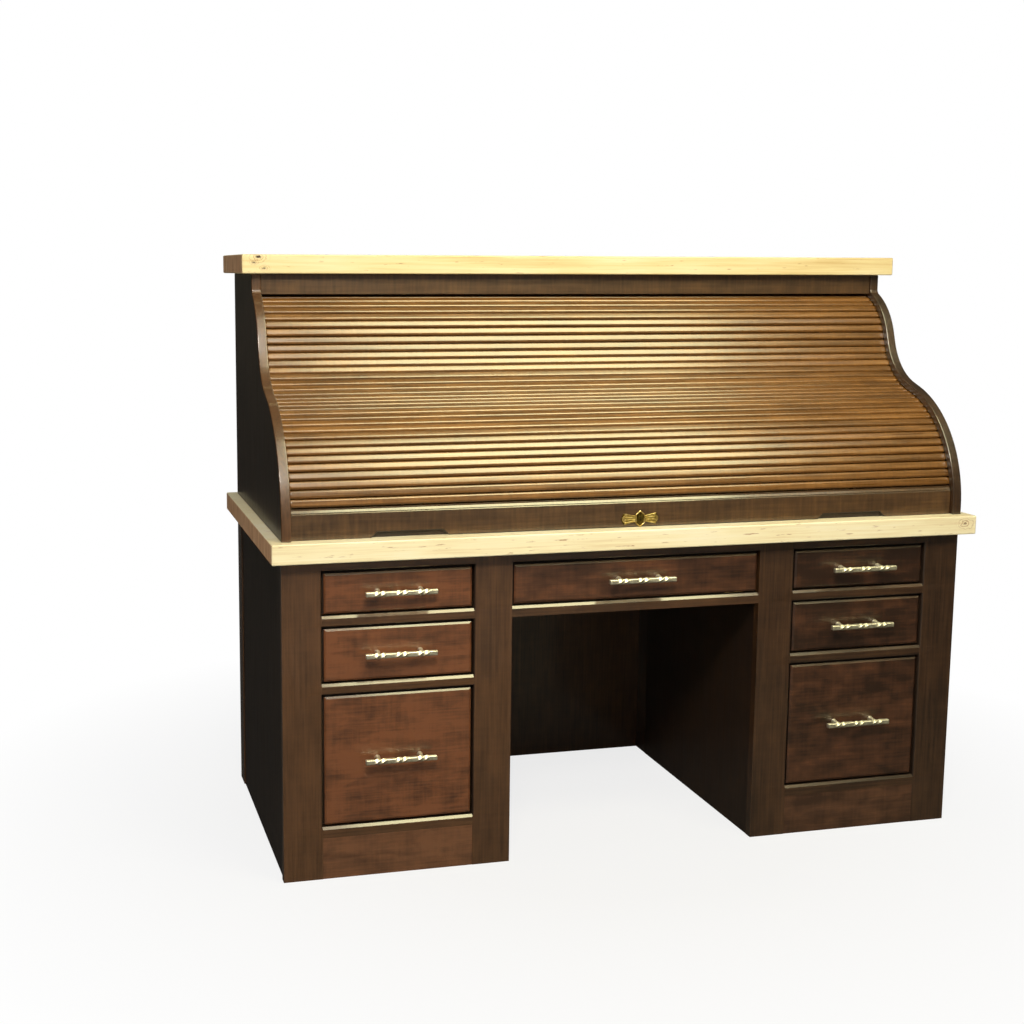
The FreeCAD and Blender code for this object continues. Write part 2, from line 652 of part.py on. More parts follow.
bolt_x = about_middle("bolt_width / 2 + bolt_clear")
bolt_y = ("bolt_middle - bolt_thick / 2 - bolt_clear", "bolt_middle + bolt_thick / 2 + bolt_clear")
case = board("case_blank", about_middle("case_width / 2"), ("case_front", "lift_back"),
             ("lift_low", "lift_low + case_height"))
bolt_way = board("bolt_way", bolt_x, bolt_y, ("lift_low - cut_overrun", "bolt_high + bolt_clear"))
keep(cut("lock_case", case, [bolt_way, plug_bore]), "lock_case")
keyway = board("keyway", about_middle("keyway_width / 2"),
               ("lift_front - plate_thick - plug_proud - cut_overrun",
                "lift_front - plate_thick - plug_proud + keyway_depth"),
               ("plug_height - plug_radius * 2 / 3", "plug_height + plug_radius * 2 / 3"))
plug = rod("plug_blank", "y", "plug_radius", "0", "lift_front - plate_thick - plug_proud", "plug_height",
           "case_front - lift_front + plate_thick + plug_proud + case_depth / 2")
keep(cut("lock_plug", plug, [keyway]), "lock_plug")
keep(board("lock_bolt", about_middle("bolt_width / 2"),
           ("bolt_middle - bolt_thick / 2", "bolt_middle + bolt_thick / 2"),
           ("bolt_low", "bolt_high")), "lock_bolt")

# Pigeonhole gallery on the desktop, in front of the curtain's run down the back
gallery_y = ("gallery_front", "gallery_rear - gallery_panel")
case_boards = [board(side + "_gallery_side", mirrored(side, "gallery_half - gallery_board", "gallery_half"),
                     gallery_y, ("desk_height", "gallery_top - gallery_board")) for side in ("left", "right")]
case_boards.append(board("gallery_top_board", about_middle("gallery_half"), gallery_y,
                         ("gallery_top - gallery_board", "gallery_top")))
case_boards.append(board("gallery_shelf", about_middle("gallery_half - gallery_board"), gallery_y,
                         ("shelf_low", "shelf_low + gallery_board")))
group("gallery_case", case_boards)
keep(board("gallery_back", about_middle("gallery_half"), ("gallery_rear - gallery_panel", "gallery_rear"),
           ("desk_height", "gallery_top")), "gallery_back")
upper_shares = (-0.75, -0.5, -0.25, 0.25, 0.5, 0.75)
lower_shares = (-0.5, 0.5)
upper_span = ("shelf_low + gallery_board", "gallery_top - gallery_board")
lower_span = ("desk_height", "shelf_low")
dividers = []
for name, shares, span in (("upper", upper_shares, upper_span), ("lower", lower_shares, lower_span)):
    for k, share in enumerate(shares, 1):
        middle = f"gallery_half * {share}"
        across = (f"{middle} - gallery_panel / 2", f"{middle} + gallery_panel / 2")
        dividers.append(board(f"{name}_divider_{k}", across, gallery_y, span))
group("gallery_dividers", dividers)

doc.recompute()
for item in doc.Objects:
    if "Invalid" in item.State or "Error" in item.State:
        raise RuntimeError(f"{item.Label} failed: {item.State}")
for label, item in parts.items():
    if item.Shape.isNull() or not item.Shape.isValid():
        raise RuntimeError(f"{label} has no valid shape")
os.makedirs("parts", exist_ok=True)
for label, item in parts.items():
    item.Shape.exportStep(f"parts/{label}.step")
print(len(parts), "pieces written")
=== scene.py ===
import bpy
import math
import random
from mathutils import Matrix, Vector


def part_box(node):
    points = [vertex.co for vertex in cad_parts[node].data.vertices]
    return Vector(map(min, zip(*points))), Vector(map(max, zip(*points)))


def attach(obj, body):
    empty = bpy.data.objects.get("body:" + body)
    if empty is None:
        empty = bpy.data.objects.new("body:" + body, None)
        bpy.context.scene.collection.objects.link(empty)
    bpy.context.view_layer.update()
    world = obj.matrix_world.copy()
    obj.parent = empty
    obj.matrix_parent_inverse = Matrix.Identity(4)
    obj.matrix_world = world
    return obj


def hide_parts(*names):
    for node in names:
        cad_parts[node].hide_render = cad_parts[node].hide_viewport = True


# Roll-top desk: dark stained maple, pale maple slabs, golden tambour, twisted nickel pulls.
# Metres, the front is -Y.

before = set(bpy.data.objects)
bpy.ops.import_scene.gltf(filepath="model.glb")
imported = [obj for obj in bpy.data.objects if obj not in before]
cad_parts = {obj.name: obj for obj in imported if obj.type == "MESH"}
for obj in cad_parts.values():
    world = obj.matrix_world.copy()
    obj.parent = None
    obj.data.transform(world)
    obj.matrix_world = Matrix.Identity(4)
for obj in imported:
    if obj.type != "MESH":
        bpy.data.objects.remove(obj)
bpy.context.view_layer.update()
draw = random.Random(11)
near = 0.00001  # two places this close are one
facing, leaning = 0.9, 0.6  # a normal's share along an axis
sharpAngle, flatAngle = math.radians(35), math.radians(0.5)
print("frame loaded,", len(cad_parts), "nodes")


# Small tools

def linear(code):  # sRGB hex to a linear colour
    channels = [int(code[k:k + 2], 16) / 255 for k in (1, 3, 5)]
    return [c / 12.92 if c <= 0.04045 else ((c + 0.055) / 1.055) ** 2.4 for c in channels] + [1.0]


def addNode(tree, kind, inputs=None, stops=None, **settings):
    node = tree.nodes.new(kind)
    for name, value in settings.items():
        setattr(node, name, value)
    if stops:
        elements = node.color_ramp.elements
        for element, (place, colour) in ((elements[0], stops[0]), (elements[1], stops[-1])):
            element.position = place
            element.color = linear(colour)
        for place, colour in stops[1:-1]:
            elements.new(place).color = linear(colour)
    for socket, value in (inputs or {}).items():
        if isinstance(value, bpy.types.NodeSocket):
            tree.links.new(value, node.inputs[socket])
        else:
            node.inputs[socket].default_value = value
    return node


def selectOnly(*pieces):
    bpy.ops.object.select_all(action="DESELECT")
    for piece in pieces:
        piece.select_set(True)
    bpy.context.view_layer.objects.active = pieces[0]


def applyModifiers(piece):
    selectOnly(piece)
    for modifier in list(piece.modifiers):
        bpy.ops.object.modifier_apply(modifier=modifier.name)


def easeEdges(piece, width, segments=2):
    bevel = piece.modifiers.new("ease", "BEVEL")
    bevel.width = width
    bevel.segments = segments
    bevel.limit_method = "ANGLE"
    bevel.angle_limit = sharpAngle
    applyModifiers(piece)


def addBox(low, high):
    bpy.ops.object.select_all(action="DESELECT")
    low, high = Vector(low), Vector(high)
    bpy.ops.mesh.primitive_cube_add(size=1, location=(low + high) / 2)
    box = bpy.context.object
    box.scale = high - low
    bpy.ops.object.transform_apply(location=True, rotation=False, scale=True)
    return box


boardTone = {"middle": 0.5, "paintedLightPerMetre": 0.625, "chance": 0.25}


def markBoard(piece, lift=0.0):  # every board gets its own stretch of grain and tone, plus a painted light falloff that leaves it paler towards the left
    points = piece.data.vertices
    middle = sum(point.co.x for point in points) / len(points)
    chance = boardTone["chance"] * (draw.random() - 0.5)
    value = boardTone["middle"] - boardTone["paintedLightPerMetre"] * middle + chance + lift
    mark = piece.data.attributes.new("board", "FLOAT", "FACE")
    mark.data.foreach_set("value", [value] * len(piece.data.polygons))


def makeBoard(low, high, finish, ease=0.001):
    board = addBox(low, high)
    board.data.materials.append(finish)
    easeEdges(board, ease)
    markBoard(board)
    return board


def pickEdges(piece, test):  # select edges whose two ends pass together
    selectOnly(piece)
    bpy.ops.object.mode_set(mode="EDIT")
    bpy.ops.mesh.select_mode(type="EDGE")
    bpy.ops.mesh.select_all(action="DESELECT")
    bpy.ops.object.mode_set(mode="OBJECT")
    points = piece.data.vertices
    for edge in piece.data.edges:
        edge.select = test(*(points[k].co for k in edge.vertices))
    bpy.ops.object.mode_set(mode="EDIT")


def edgesWhere(piece, test):  # select edges whose two ends both pass
    pickEdges(piece, lambda one, other: test(one) and test(other))


def facesWhere(piece, test):
    selectOnly(piece)
    bpy.ops.object.mode_set(mode="EDIT")
    bpy.ops.mesh.select_mode(type="FACE")
    bpy.ops.mesh.select_all(action="DESELECT")
    bpy.ops.object.mode_set(mode="OBJECT")
    for face in piece.data.polygons:
        face.select = test(face)
    bpy.ops.object.mode_set(mode="EDIT")


def bisectAt(piece, place, normal):
    selectOnly(piece)
    bpy.ops.object.mode_set(mode="EDIT")
    bpy.ops.mesh.select_all(action="SELECT")
    bpy.ops.mesh.bisect(plane_co=place, plane_no=normal)
    bpy.ops.object.mode_set(mode="OBJECT")


def joinPieces(name, pieces):
    selectOnly(*pieces)
    if len(pieces) > 1:
        bpy.ops.object.join()
    joined = bpy.context.view_layer.objects.active
    joined.name = name
    joined.data.name = name
    return joined


def easedCopy(node, name, finish, width, segments=2):  # the CAD shape with its sharp edges eased
    piece = bpy.data.objects.new(name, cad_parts[node].data.copy())
    bpy.context.scene.collection.objects.link(piece)
    selectOnly(piece)
    bpy.ops.object.mode_set(mode="EDIT")
    bpy.ops.mesh.select_all(action="SELECT")
    bpy.ops.mesh.remove_doubles(threshold=near)
    bpy.ops.mesh.dissolve_limited(angle_limit=flatAngle)
    bpy.ops.object.mode_set(mode="OBJECT")
    piece.data.materials.clear()
    piece.data.materials.append(finish)
    if width:
        easeEdges(piece, width, segments)
        markBoard(piece)
    return piece


def cutAway(piece, cutter):
    boolean = piece.modifiers.new("cut", "BOOLEAN")
    boolean.operation = "DIFFERENCE"
    boolean.solver = "EXACT"
    boolean.object = cutter
    applyModifiers(piece)
    bpy.data.objects.remove(cutter)


def settle(piece, body, slot, *nodes, smooth=32):
    selectOnly(piece)
    bpy.ops.object.shade_smooth_by_angle(angle=math.radians(smooth))
    flatten = piece.modifiers.new("flatten", "WEIGHTED_NORMAL")  # flat faces stay flat beside rounded edges
    flatten.keep_sharp = True
    applyModifiers(piece)
    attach(piece, body)
    if nodes:
        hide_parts(*nodes)


# Finishes

# One cell of each stain pattern: millimetres along and across the grain, and its detail
stainCells = {"fibre": (150, 4.0, 5.0), "cloud": (170, 75, 3.0), "patch": (60, 26, 4.0),
              "figure": (7, 80, 2.0)}
boardShift = (17.3, 11.9, 23.7)  # metres of grain between boards whose marks differ by 1


def newFinish(name):
    material = bpy.data.materials.new(name)
    material.use_nodes = True
    tree = material.node_tree
    shader = tree.nodes["Principled BSDF"]
    place = addNode(tree, "ShaderNodeTexCoord").outputs["Object"]
    return material, tree, shader, place


def stainedMaple(name, grain, tones, gloss, spread, weights, coat=0.95, blur=0.12):
    # maple, planed, stained and satin lacquered: cloudy stain, fine fibre lines, faint cross figure
    material, tree, shader, place = newFinish(name)
    mark = addNode(tree, "ShaderNodeAttribute", attribute_name="board").outputs["Fac"]
    shift = addNode(tree, "ShaderNodeVectorMath", {0: boardShift, "Scale": mark}, operation="SCALE")
    own = addNode(tree, "ShaderNodeVectorMath", {0: place, 1: shift.outputs[0]}, operation="ADD").outputs[0]
    layers = {}
    level = 0.5 - spread / 2 - sum(weights.values()) / 2
    tone = addNode(tree, "ShaderNodeMath", {0: mark, 1: spread, 2: level},
                   operation="MULTIPLY_ADD").outputs[0]
    for layer, (along, across, detail) in stainCells.items():
        scale = [1000 / across] * 3
        scale["xyz".index(grain)] = 1000 / along
        spot = addNode(tree, "ShaderNodeVectorMath", {0: own, 1: scale}, operation="MULTIPLY").outputs[0]
        layers[layer] = addNode(tree, "ShaderNodeTexNoise", {"Vector": spot, "Scale": 1.0, "Detail": detail,
                                                             "Distortion": 0.4}).outputs["Fac"]
        tone = addNode(tree, "ShaderNodeMath", {0: layers[layer], 1: weights[layer], 2: tone},
                       operation="MULTIPLY_ADD").outputs[0]
    ramp = addNode(tree, "ShaderNodeValToRGB", {"Fac": tone},
                   stops=[(0.30, tones[0]), (0.5, tones[1]), (0.70, tones[2])])
    tree.links.new(ramp.outputs["Color"], shader.inputs["Base Color"])
    rough = addNode(tree, "ShaderNodeMapRange", {"Value": layers["fibre"], "From Min": 0.3, "From Max": 0.7,
                                                 "To Min": gloss - 0.05, "To Max": gloss + 0.07})
    tree.links.new(rough.outputs["Result"], shader.inputs["Roughness"])
    bump = addNode(tree, "ShaderNodeBump", {"Height": layers["fibre"], "Strength": 0.2, "Distance": 0.0003})
    tree.links.new(bump.outputs["Normal"], shader.inputs["Normal"])
    shader.inputs["IOR"].default_value = 1.5
    shader.inputs["Coat Weight"].default_value = coat
    shader.inputs["Coat Roughness"].default_value = blur
    return material


paleSlab = {
    "boardWidth": 0.190, "boardOffset": 20.31, "boardShift": 31.0, "streak": "#a06a3c", "knot": "#3d2413",
    "desktop": ("#e0ca9a", "#f1e6bd", "#f7f0d6"), "upper_slab": ("#d4b87c", "#e6d49c", "#efe4ba"),
}
knotForm = {"stretch": (0.6, 1.0, 1.0), "wobbles": 0.8, "wobble": 1.6, "rings": 9, "fade": (0.5, 2.4),
            "heart": (0.25, 0.6)}  # in sizes of the knot


def paleMaple(name, tones, knots):
    # natural maple under clear lacquer: glued boards, brown mineral streaks and a few knots
    material, tree, shader, place = newFinish(name)
    apart = addNode(tree, "ShaderNodeSeparateXYZ", {0: place})
    across = addNode(tree, "ShaderNodeMath", {0: apart.outputs["Y"], 1: 1 / paleSlab["boardWidth"],
                                              2: paleSlab["boardOffset"]}, operation="MULTIPLY_ADD")
    index = addNode(tree, "ShaderNodeMath", {0: across.outputs[0]}, operation="FLOOR").outputs[0]
    chance = addNode(tree, "ShaderNodeTexWhiteNoise", {"W": index}, noise_dimensions="1D")
    shift = addNode(tree, "ShaderNodeVectorMath", {0: chance.outputs["Color"],
                                                   "Scale": paleSlab["boardShift"]}, operation="SCALE")
    own = addNode(tree, "ShaderNodeVectorMath", {0: place, 1: shift.outputs[0]}, operation="ADD").outputs[0]

    def stretched(alongMm, acrossMm):
        scale = (1000 / alongMm, 1000 / acrossMm, 1000 / acrossMm)
        return addNode(tree, "ShaderNodeVectorMath", {0: own, 1: scale}, operation="MULTIPLY").outputs[0]

    fibre = addNode(tree, "ShaderNodeTexNoise", {"Vector": stretched(240, 7), "Scale": 1.0, "Detail": 5.0,
                                                 "Roughness": 0.6, "Distortion": 0.3}).outputs["Fac"]
    cloud = addNode(tree, "ShaderNodeTexNoise", {"Vector": stretched(320, 70), "Scale": 1.0, "Detail": 2.0}
                    ).outputs["Fac"]
    dash = addNode(tree, "ShaderNodeTexNoise", {"Vector": stretched(40, 5), "Scale": 1.0, "Detail": 3.0,
                                                "Roughness": 0.6}).outputs["Fac"]
    mixed = addNode(tree, "ShaderNodeMath", {0: fibre, 1: 0.55, 2: 0.0}, operation="MULTIPLY_ADD")
    mixed = addNode(tree, "ShaderNodeMath", {0: cloud, 1: 0.45, 2: mixed.outputs[0]},
                    operation="MULTIPLY_ADD")
    lighter = addNode(tree, "ShaderNodeMath", {0: chance.outputs["Value"], 1: 0.12, 2: -0.06},
                      operation="MULTIPLY_ADD")
    tone = addNode(tree, "ShaderNodeMath", {0: mixed.outputs[0], 1: lighter.outputs[0]}, operation="ADD")
    ramp = addNode(tree, "ShaderNodeValToRGB", {"Fac": tone.outputs[0]},
                   stops=[(0.26, tones[0]), (0.44, tones[1]), (0.66, tones[2])])
    streak = addNode(tree, "ShaderNodeMapRange", {"Value": dash, "From Min": 0.64, "From Max": 0.73,
                                                  "To Min": 0.0, "To Max": 0.85})
    streakColour = linear(paleSlab["streak"])
    colour = addNode(tree, "ShaderNodeMix", {"Factor": streak.outputs["Result"], "A": ramp.outputs["Color"],
                                             "B": streakColour}, data_type="RGBA").outputs["Result"]
    for spot, size, heart in knots:  # brown rings round a heart that is dark or only stained
        away = addNode(tree, "ShaderNodeVectorMath", {0: place, 1: spot}, operation="SUBTRACT").outputs[0]
        away = addNode(tree, "ShaderNodeVectorMath", {0: away, 1: knotForm["stretch"]},
                       operation="MULTIPLY").outputs[0]
        wobble = addNode(tree, "ShaderNodeTexNoise", {"Vector": place, "Scale": knotForm["wobbles"] / size,
                                                      "Detail": 4.0})
        far = addNode(tree, "ShaderNodeVectorMath", {0: away}, operation="LENGTH").outputs["Value"]
        swing = size * knotForm["wobble"]
        far = addNode(tree, "ShaderNodeMath", {0: wobble.outputs["Fac"], 1: swing, 2: far},
                      operation="MULTIPLY_ADD").outputs[0]
        far = addNode(tree, "ShaderNodeMath", {0: far, 1: swing / 2}, operation="SUBTRACT").outputs[0]
        rings = addNode(tree, "ShaderNodeMath", {0: far, 1: knotForm["rings"] / size}, operation="MULTIPLY")
        rings = addNode(tree, "ShaderNodeMath", {0: rings.outputs[0]}, operation="SINE").outputs[0]
        ring = addNode(tree, "ShaderNodeMapRange", {"Value": rings, "From Min": 0.1, "From Max": 1.0,
                                                    "To Min": 0.0, "To Max": 0.8})
        fadeStart, fadeEnd = (size * share for share in knotForm["fade"])
        fade = addNode(tree, "ShaderNodeMapRange", {"Value": far, "From Min": fadeStart, "From Max": fadeEnd,
                                                    "To Min": 1.0, "To Max": 0.0})
        ring = addNode(tree, "ShaderNodeMath", {0: ring.outputs["Result"], 1: fade.outputs["Result"]},
                       operation="MULTIPLY").outputs[0]
        heartStart, heartEnd = (size * share for share in knotForm["heart"])
        core = addNode(tree, "ShaderNodeMapRange", {"Value": far, "From Min": heartStart,
                                                    "From Max": heartEnd, "To Min": heart,
                                                    "To Max": 0.0}).outputs["Result"]
        colour = addNode(tree, "ShaderNodeMix", {"Factor": ring, "A": colour, "B": streakColour},
                         data_type="RGBA").outputs["Result"]
        colour = addNode(tree, "ShaderNodeMix", {"Factor": core, "A": colour, "B": linear(paleSlab["knot"])},
                         data_type="RGBA").outputs["Result"]
    tree.links.new(colour, shader.inputs["Base Color"])
    rough = addNode(tree, "ShaderNodeMapRange", {"Value": fibre, "To Min": 0.36, "To Max": 0.50})
    tree.links.new(rough.outputs["Result"], shader.inputs["Roughness"])
    bump = addNode(tree, "ShaderNodeBump", {"Height": fibre, "Strength": 0.2, "Distance": 0.0003})
    tree.links.new(bump.outputs["Normal"], shader.inputs["Normal"])
    return material


def endGrain(name, tones):
    # sawn board ends: growth rings standing on edge, browner because they soak up the finish
    material, tree, shader, place = newFinish(name)
    scaled = addNode(tree, "ShaderNodeMapping", {"Vector": place, "Scale": (60, 110, 14)}).outputs[0]
    ring = addNode(tree, "ShaderNodeTexNoise", {"Vector": scaled, "Scale": 1.0, "Detail": 4.0,
                                                "Distortion": 0.6})
    ramp = addNode(tree, "ShaderNodeValToRGB", {"Fac": ring.outputs["Fac"]},
                   stops=[(0.3, tones[0]), (0.52, tones[1]), (0.72, tones[2])])
    tree.links.new(ramp.outputs["Color"], shader.inputs["Base Color"])
    shader.inputs["Roughness"].default_value = 0.5
    return material


def metalFinish(name, tones, gloss, grainMm):
    # cast or drawn metal, rubbed: small cloudy tarnish and a fine rubbed grain
    material, tree, shader, place = newFinish(name)
    cloud = addNode(tree, "ShaderNodeTexNoise", {"Vector": place, "Scale": 1000 / (grainMm * 6),
                                                 "Detail": 4.0})
    rubbed = addNode(tree, "ShaderNodeTexNoise", {"Vector": place, "Scale": 1000 / grainMm, "Detail": 2.0})
    ramp = addNode(tree, "ShaderNodeValToRGB", {"Fac": cloud.outputs["Fac"]},
                   stops=[(0.32, tones[0]), (0.5, tones[1]), (0.7, tones[2])])
    tree.links.new(ramp.outputs["Color"], shader.inputs["Base Color"])
    shader.inputs["Metallic"].default_value = 1.0
    rough = addNode(tree, "ShaderNodeMapRange", {"Value": rubbed.outputs["Fac"], "To Min": gloss - 0.06,
                                                 "To Max": gloss + 0.08})
    tree.links.new(rough.outputs["Result"], shader.inputs["Roughness"])
    bump = addNode(tree, "ShaderNodeBump", {"Height": rubbed.outputs["Fac"], "Strength": 0.12,
                                            "Distance": 0.0002})
    tree.links.new(bump.outputs["Normal"], shader.inputs["Normal"])
    return material


def canvasCloth(name, threadMm):
    # cotton duck: plain weave, its threads drawn coarse so that they show
    material, tree, shader, place = newFinish(name)
    warp, weft = (addNode(tree, "ShaderNodeTexWave", {"Vector": place, "Scale": 1000 / threadMm / 20,
                                                      "Distortion": 0.4, "Detail": 1.0}, bands_direction=way)
                  for way in "XZ")
    weave = addNode(tree, "ShaderNodeMath", {0: warp.outputs["Fac"], 1: weft.outputs["Fac"]},
                    operation="MAXIMUM").outputs[0]
    ramp = addNode(tree, "ShaderNodeValToRGB", {"Fac": weave}, stops=[(0.2, "#4e4030"), (0.9, "#8a7656")])
    tree.links.new(ramp.outputs["Color"], shader.inputs["Base Color"])
    shader.inputs["Roughness"].default_value = 0.9
    bump = addNode(tree, "ShaderNodeBump", {"Height": weave, "Strength": 0.5, "Distance": 0.0005})
    tree.links.new(bump.outputs["Normal"], shader.inputs["Normal"])
    return material


darkTones = ("#2b1b0f", "#452d19", "#5a3b21")
paintedShadeTones = ("#1d140e", "#2b1e16", "#392819")
curlyTones = ("#302112", "#4d361f", "#644829")
drawerTones = ("#2b180c", "#4f2f1b", "#744527")
kickTones = ("#382213", "#563722", "#6f482d")
innerTones = ("#a57f4f", "#cfac74", "#e2c794")
slatTones = ("#4b2f0e", "#714a1c", "#94662f")
plainStain = {"fibre": 0.50, "cloud": 0.30, "patch": 0.22, "figure": 0.10}
blotchStain = {"fibre": 0.30, "cloud": 0.36, "patch": 0.50, "figure": 0.16}
curlyStain = {"fibre": 0.26, "cloud": 0.34, "patch": 0.22, "figure": 0.36}
slatGrain = {"fibre": 0.45, "cloud": 0.35, "patch": 0.20, "figure": 0.15}
dark = {axis: stainedMaple("darkMaple_" + axis, axis, darkTones, 0.36, 0.24, plainStain) for axis in "xyz"}
# a darker, duller finish for faces that stand in shade: painted shade
deep = stainedMaple("paintedShadeMaple", "z", paintedShadeTones, 0.42, 0.10, plainStain, coat=0.2)
drawerStain = stainedMaple("redBrownMaple", "x", drawerTones, 0.34, 0.50, blotchStain, coat=0.85, blur=0.26)
slatStain = stainedMaple("goldenBrownMaple", "x", slatTones, 0.30, 0.45, slatGrain, coat=0.9, blur=0.2)
curly = stainedMaple("curlyDarkMaple", "x", curlyTones, 0.34, 0.06, curlyStain)
kickStain = stainedMaple("kickMaple", "x", kickTones, 0.36, 0.30, blotchStain)
inner = {axis: stainedMaple("sealedMaple_" + axis, axis, innerTones, 0.5, 0.10, plainStain) for axis in "xyz"}
slabEnds = endGrain("mapleEndGrain", ("#c99266", "#ecb889", "#f8d4ac"))
nickel = metalFinish("satinNickel", ("#cfc7b5", "#e2dbca", "#efe9dc"), 0.46, 1.2)
agedBrass = metalFinish("agedBrass", ("#a88d48", "#cfb26c", "#e8d498"), 0.34, 1.0)
darkBrass = metalFinish("tarnishedBrass", ("#40351a", "#5e4e25", "#7d6933"), 0.45, 1.0)
plainSteel = metalFinish("plainSteel", ("#7d7d7b", "#9d9c99", "#b4b3af"), 0.35, 1.0)
canvas = canvasCloth("cottonDuck", 2.4)
print("finishes made")


# Slabs: desktop and top

slabEase = 0.003
knots = {  # place across and up the front, size, depth of the heart's colour
    "desktop": [(0.809, 0.738, 0.0075, 0.45)],
    "upper_slab": [(-0.8006, 1.3535, 0.0075, 1.0), (-0.810, 1.3415, 0.004, 0.8),
                   (-0.786, 1.3285, 0.0045, 0.8)],
}
lockCuts = {"strikeOver": 0.001, "boltRoom": 0.0003, "boltDrop": 0.013}


def makeSlab(name, node):
    low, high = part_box(node)
    slab = addBox(low, high)
    spots = [((x, low.y, z), size, heart) for x, z, size, heart in knots[node]]
    slab.data.materials.append(paleMaple(name + "Maple", paleSlab[node], spots))
    slab.data.materials.append(slabEnds)
    easeEdges(slab, slabEase, 3)
    for face in slab.data.polygons:
        if abs(face.normal.x) > facing:
            face.material_index = 1
    slab.name = name
    return slab


desktop = makeSlab("desktopSlab", "desktop")
low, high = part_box("strike_plate")
cutAway(desktop, addBox(low, high + Vector((0, 0, lockCuts["strikeOver"]))))
low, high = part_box("lock_bolt")
boltRoom = Vector((lockCuts["boltRoom"], lockCuts["boltRoom"], 0))
cutAway(desktop, addBox(low - boltRoom - Vector((0, 0, lockCuts["boltDrop"])), high + boltRoom))
settle(desktop, "desk", "pale_maple", "desktop")
settle(makeSlab("upperSlab", "upper_slab"), "desk", "pale_maple", "upper_slab")
print("slabs done")


# Face frames: stiles and rails with a routed edge round every drawer opening

faceFrame = {"stile": 0.087, "rail": 0.024, "gap": 0.003, "routed": 0.0045, "lipDrop": 0.0011,
             "plainBelow": 0.1, "plainAbove": 0.001}
order = ["top", "middle", "file"]
openings = {}
for level in order:
    low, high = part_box(f"left_{level}_front")
    openings[level] = (low.z - faceFrame["gap"], high.z + faceFrame["gap"])


def makeStile(low, high, innerX):
    stile = addBox(low, high)
    for z in sorted(edge for span in openings.values() for edge in span):
        bisectAt(stile, (0, 0, z), (0, 0, 1))
    for bottom, top in openings.values():
        edgesWhere(stile, lambda p: abs(p.x - innerX) < near and abs(p.y - low.y) < near
                   and bottom - near < p.z < top + near)
        bpy.ops.mesh.bevel(offset=faceFrame["routed"], segments=3, profile=0.5)
        bpy.ops.object.mode_set(mode="OBJECT")
    stile.data.materials.append(dark["z"])
    stile.data.materials.append(deep)
    for face in stile.data.polygons:  # painted shade: the reveal's side faces take the darker finish
        if abs(face.normal.x) > leaning and abs(face.center.x - innerX) < faceFrame["routed"]:
            face.material_index = 1
    markBoard(stile)
    return stile


def makeRail(low, high, sides):  # sides: z levels whose front edge is routed
    rail = addBox(low, high)
    for z in sides:
        edgesWhere(rail, lambda p: abs(p.z - z) < near and abs(p.y - low.y) < near)
        lip = abs(z - high.z) < near  # the lip under a drawer is a flat chamfer
        bpy.ops.mesh.bevel(offset=faceFrame["routed"], segments=1 if lip else 3, profile=0.5)
        bpy.ops.object.mode_set(mode="OBJECT")
        if lip:  # and a little steeper than 45 degrees
            edgesWhere(rail, lambda p: abs(p.z - z + faceFrame["routed"]) < near
                       and abs(p.y - low.y) < near)
            bpy.ops.transform.translate(value=(0, 0, -faceFrame["lipDrop"]))
            bpy.ops.object.mode_set(mode="OBJECT")
    rail.data.materials.append(dark["x"])
    rail.data.materials.append(deep)
    # faces looking up or down into the gaps take the darker finish: painted shade
    for face in rail.data.polygons:
        if face.normal.z < -leaning or face.normal.z > facing:
            face.material_index = 1
    markBoard(rail)
    return rail


for side in ("left", "right"):
    low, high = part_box(side + "_face_frame")
    innerEdges = (low.x + faceFrame["stile"], high.x - faceFrame["stile"])
    pieces = [makeStile(low, Vector((innerEdges[0], high.y, high.z)), innerEdges[0]),
              makeStile(Vector((innerEdges[1], low.y, low.z)), high, innerEdges[1])]
    bounds = [high.z]
    for level in order:
        bounds += [openings[level][1], openings[level][0]]
    bounds.append(openings["file"][0] - faceFrame["rail"])
    for k in range(0, len(bounds), 2):
        routed = [z for z in (bounds[k], bounds[k + 1])
                  if low.z + faceFrame["plainBelow"] < z < high.z - faceFrame["plainAbove"]]
        pieces.append(makeRail(Vector((innerEdges[0], low.y, bounds[k + 1])),
                               Vector((innerEdges[1], high.y, bounds[k])), routed))
    settle(joinPieces(side + "FaceFrame", pieces), "desk", "dark_maple", side + "_face_frame")

low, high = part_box("knee_rails")
centreLow, centreHigh = openings["top"]
kneeRails = [makeRail(Vector((low.x, low.y, centreHigh)), high, [centreHigh]),
             makeRail(low, Vector((high.x, high.y, centreLow)), [centreLow])]
settle(joinPieces("kneeRails", kneeRails), "desk", "dark_maple", "knee_rails")
print("face frames done")


# Carcase: sides, posts, kick boards, backs

def plainBoards(name, boxes, finish, slot, nodes, ease=0.001, body="desk"):
    boards = [makeBoard(low, high, finish, ease) for low, high in boxes]
    piece = joinPieces(name, boards)
    settle(piece, body, slot, *nodes)
    return piece


# the outer and knee sides take the darker finish: painted shade
for side in ("left", "right"):
    for part in ("outer_side", "knee_side"):
        plainBoards(side + part.title().replace("_", ""), [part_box(f"{side}_{part}")], deep, "dark_maple",
                    [f"{side}_{part}"])
low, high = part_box("kick_boards")
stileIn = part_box("left_face_frame")[1].x - faceFrame["stile"]
kicks = [(low, Vector((stileIn, high.y, high.z))), (Vector((-stileIn, low.y, low.z)), high)]
plainBoards("kickBoards", kicks, kickStain, "dark_maple", ["kick_boards"])

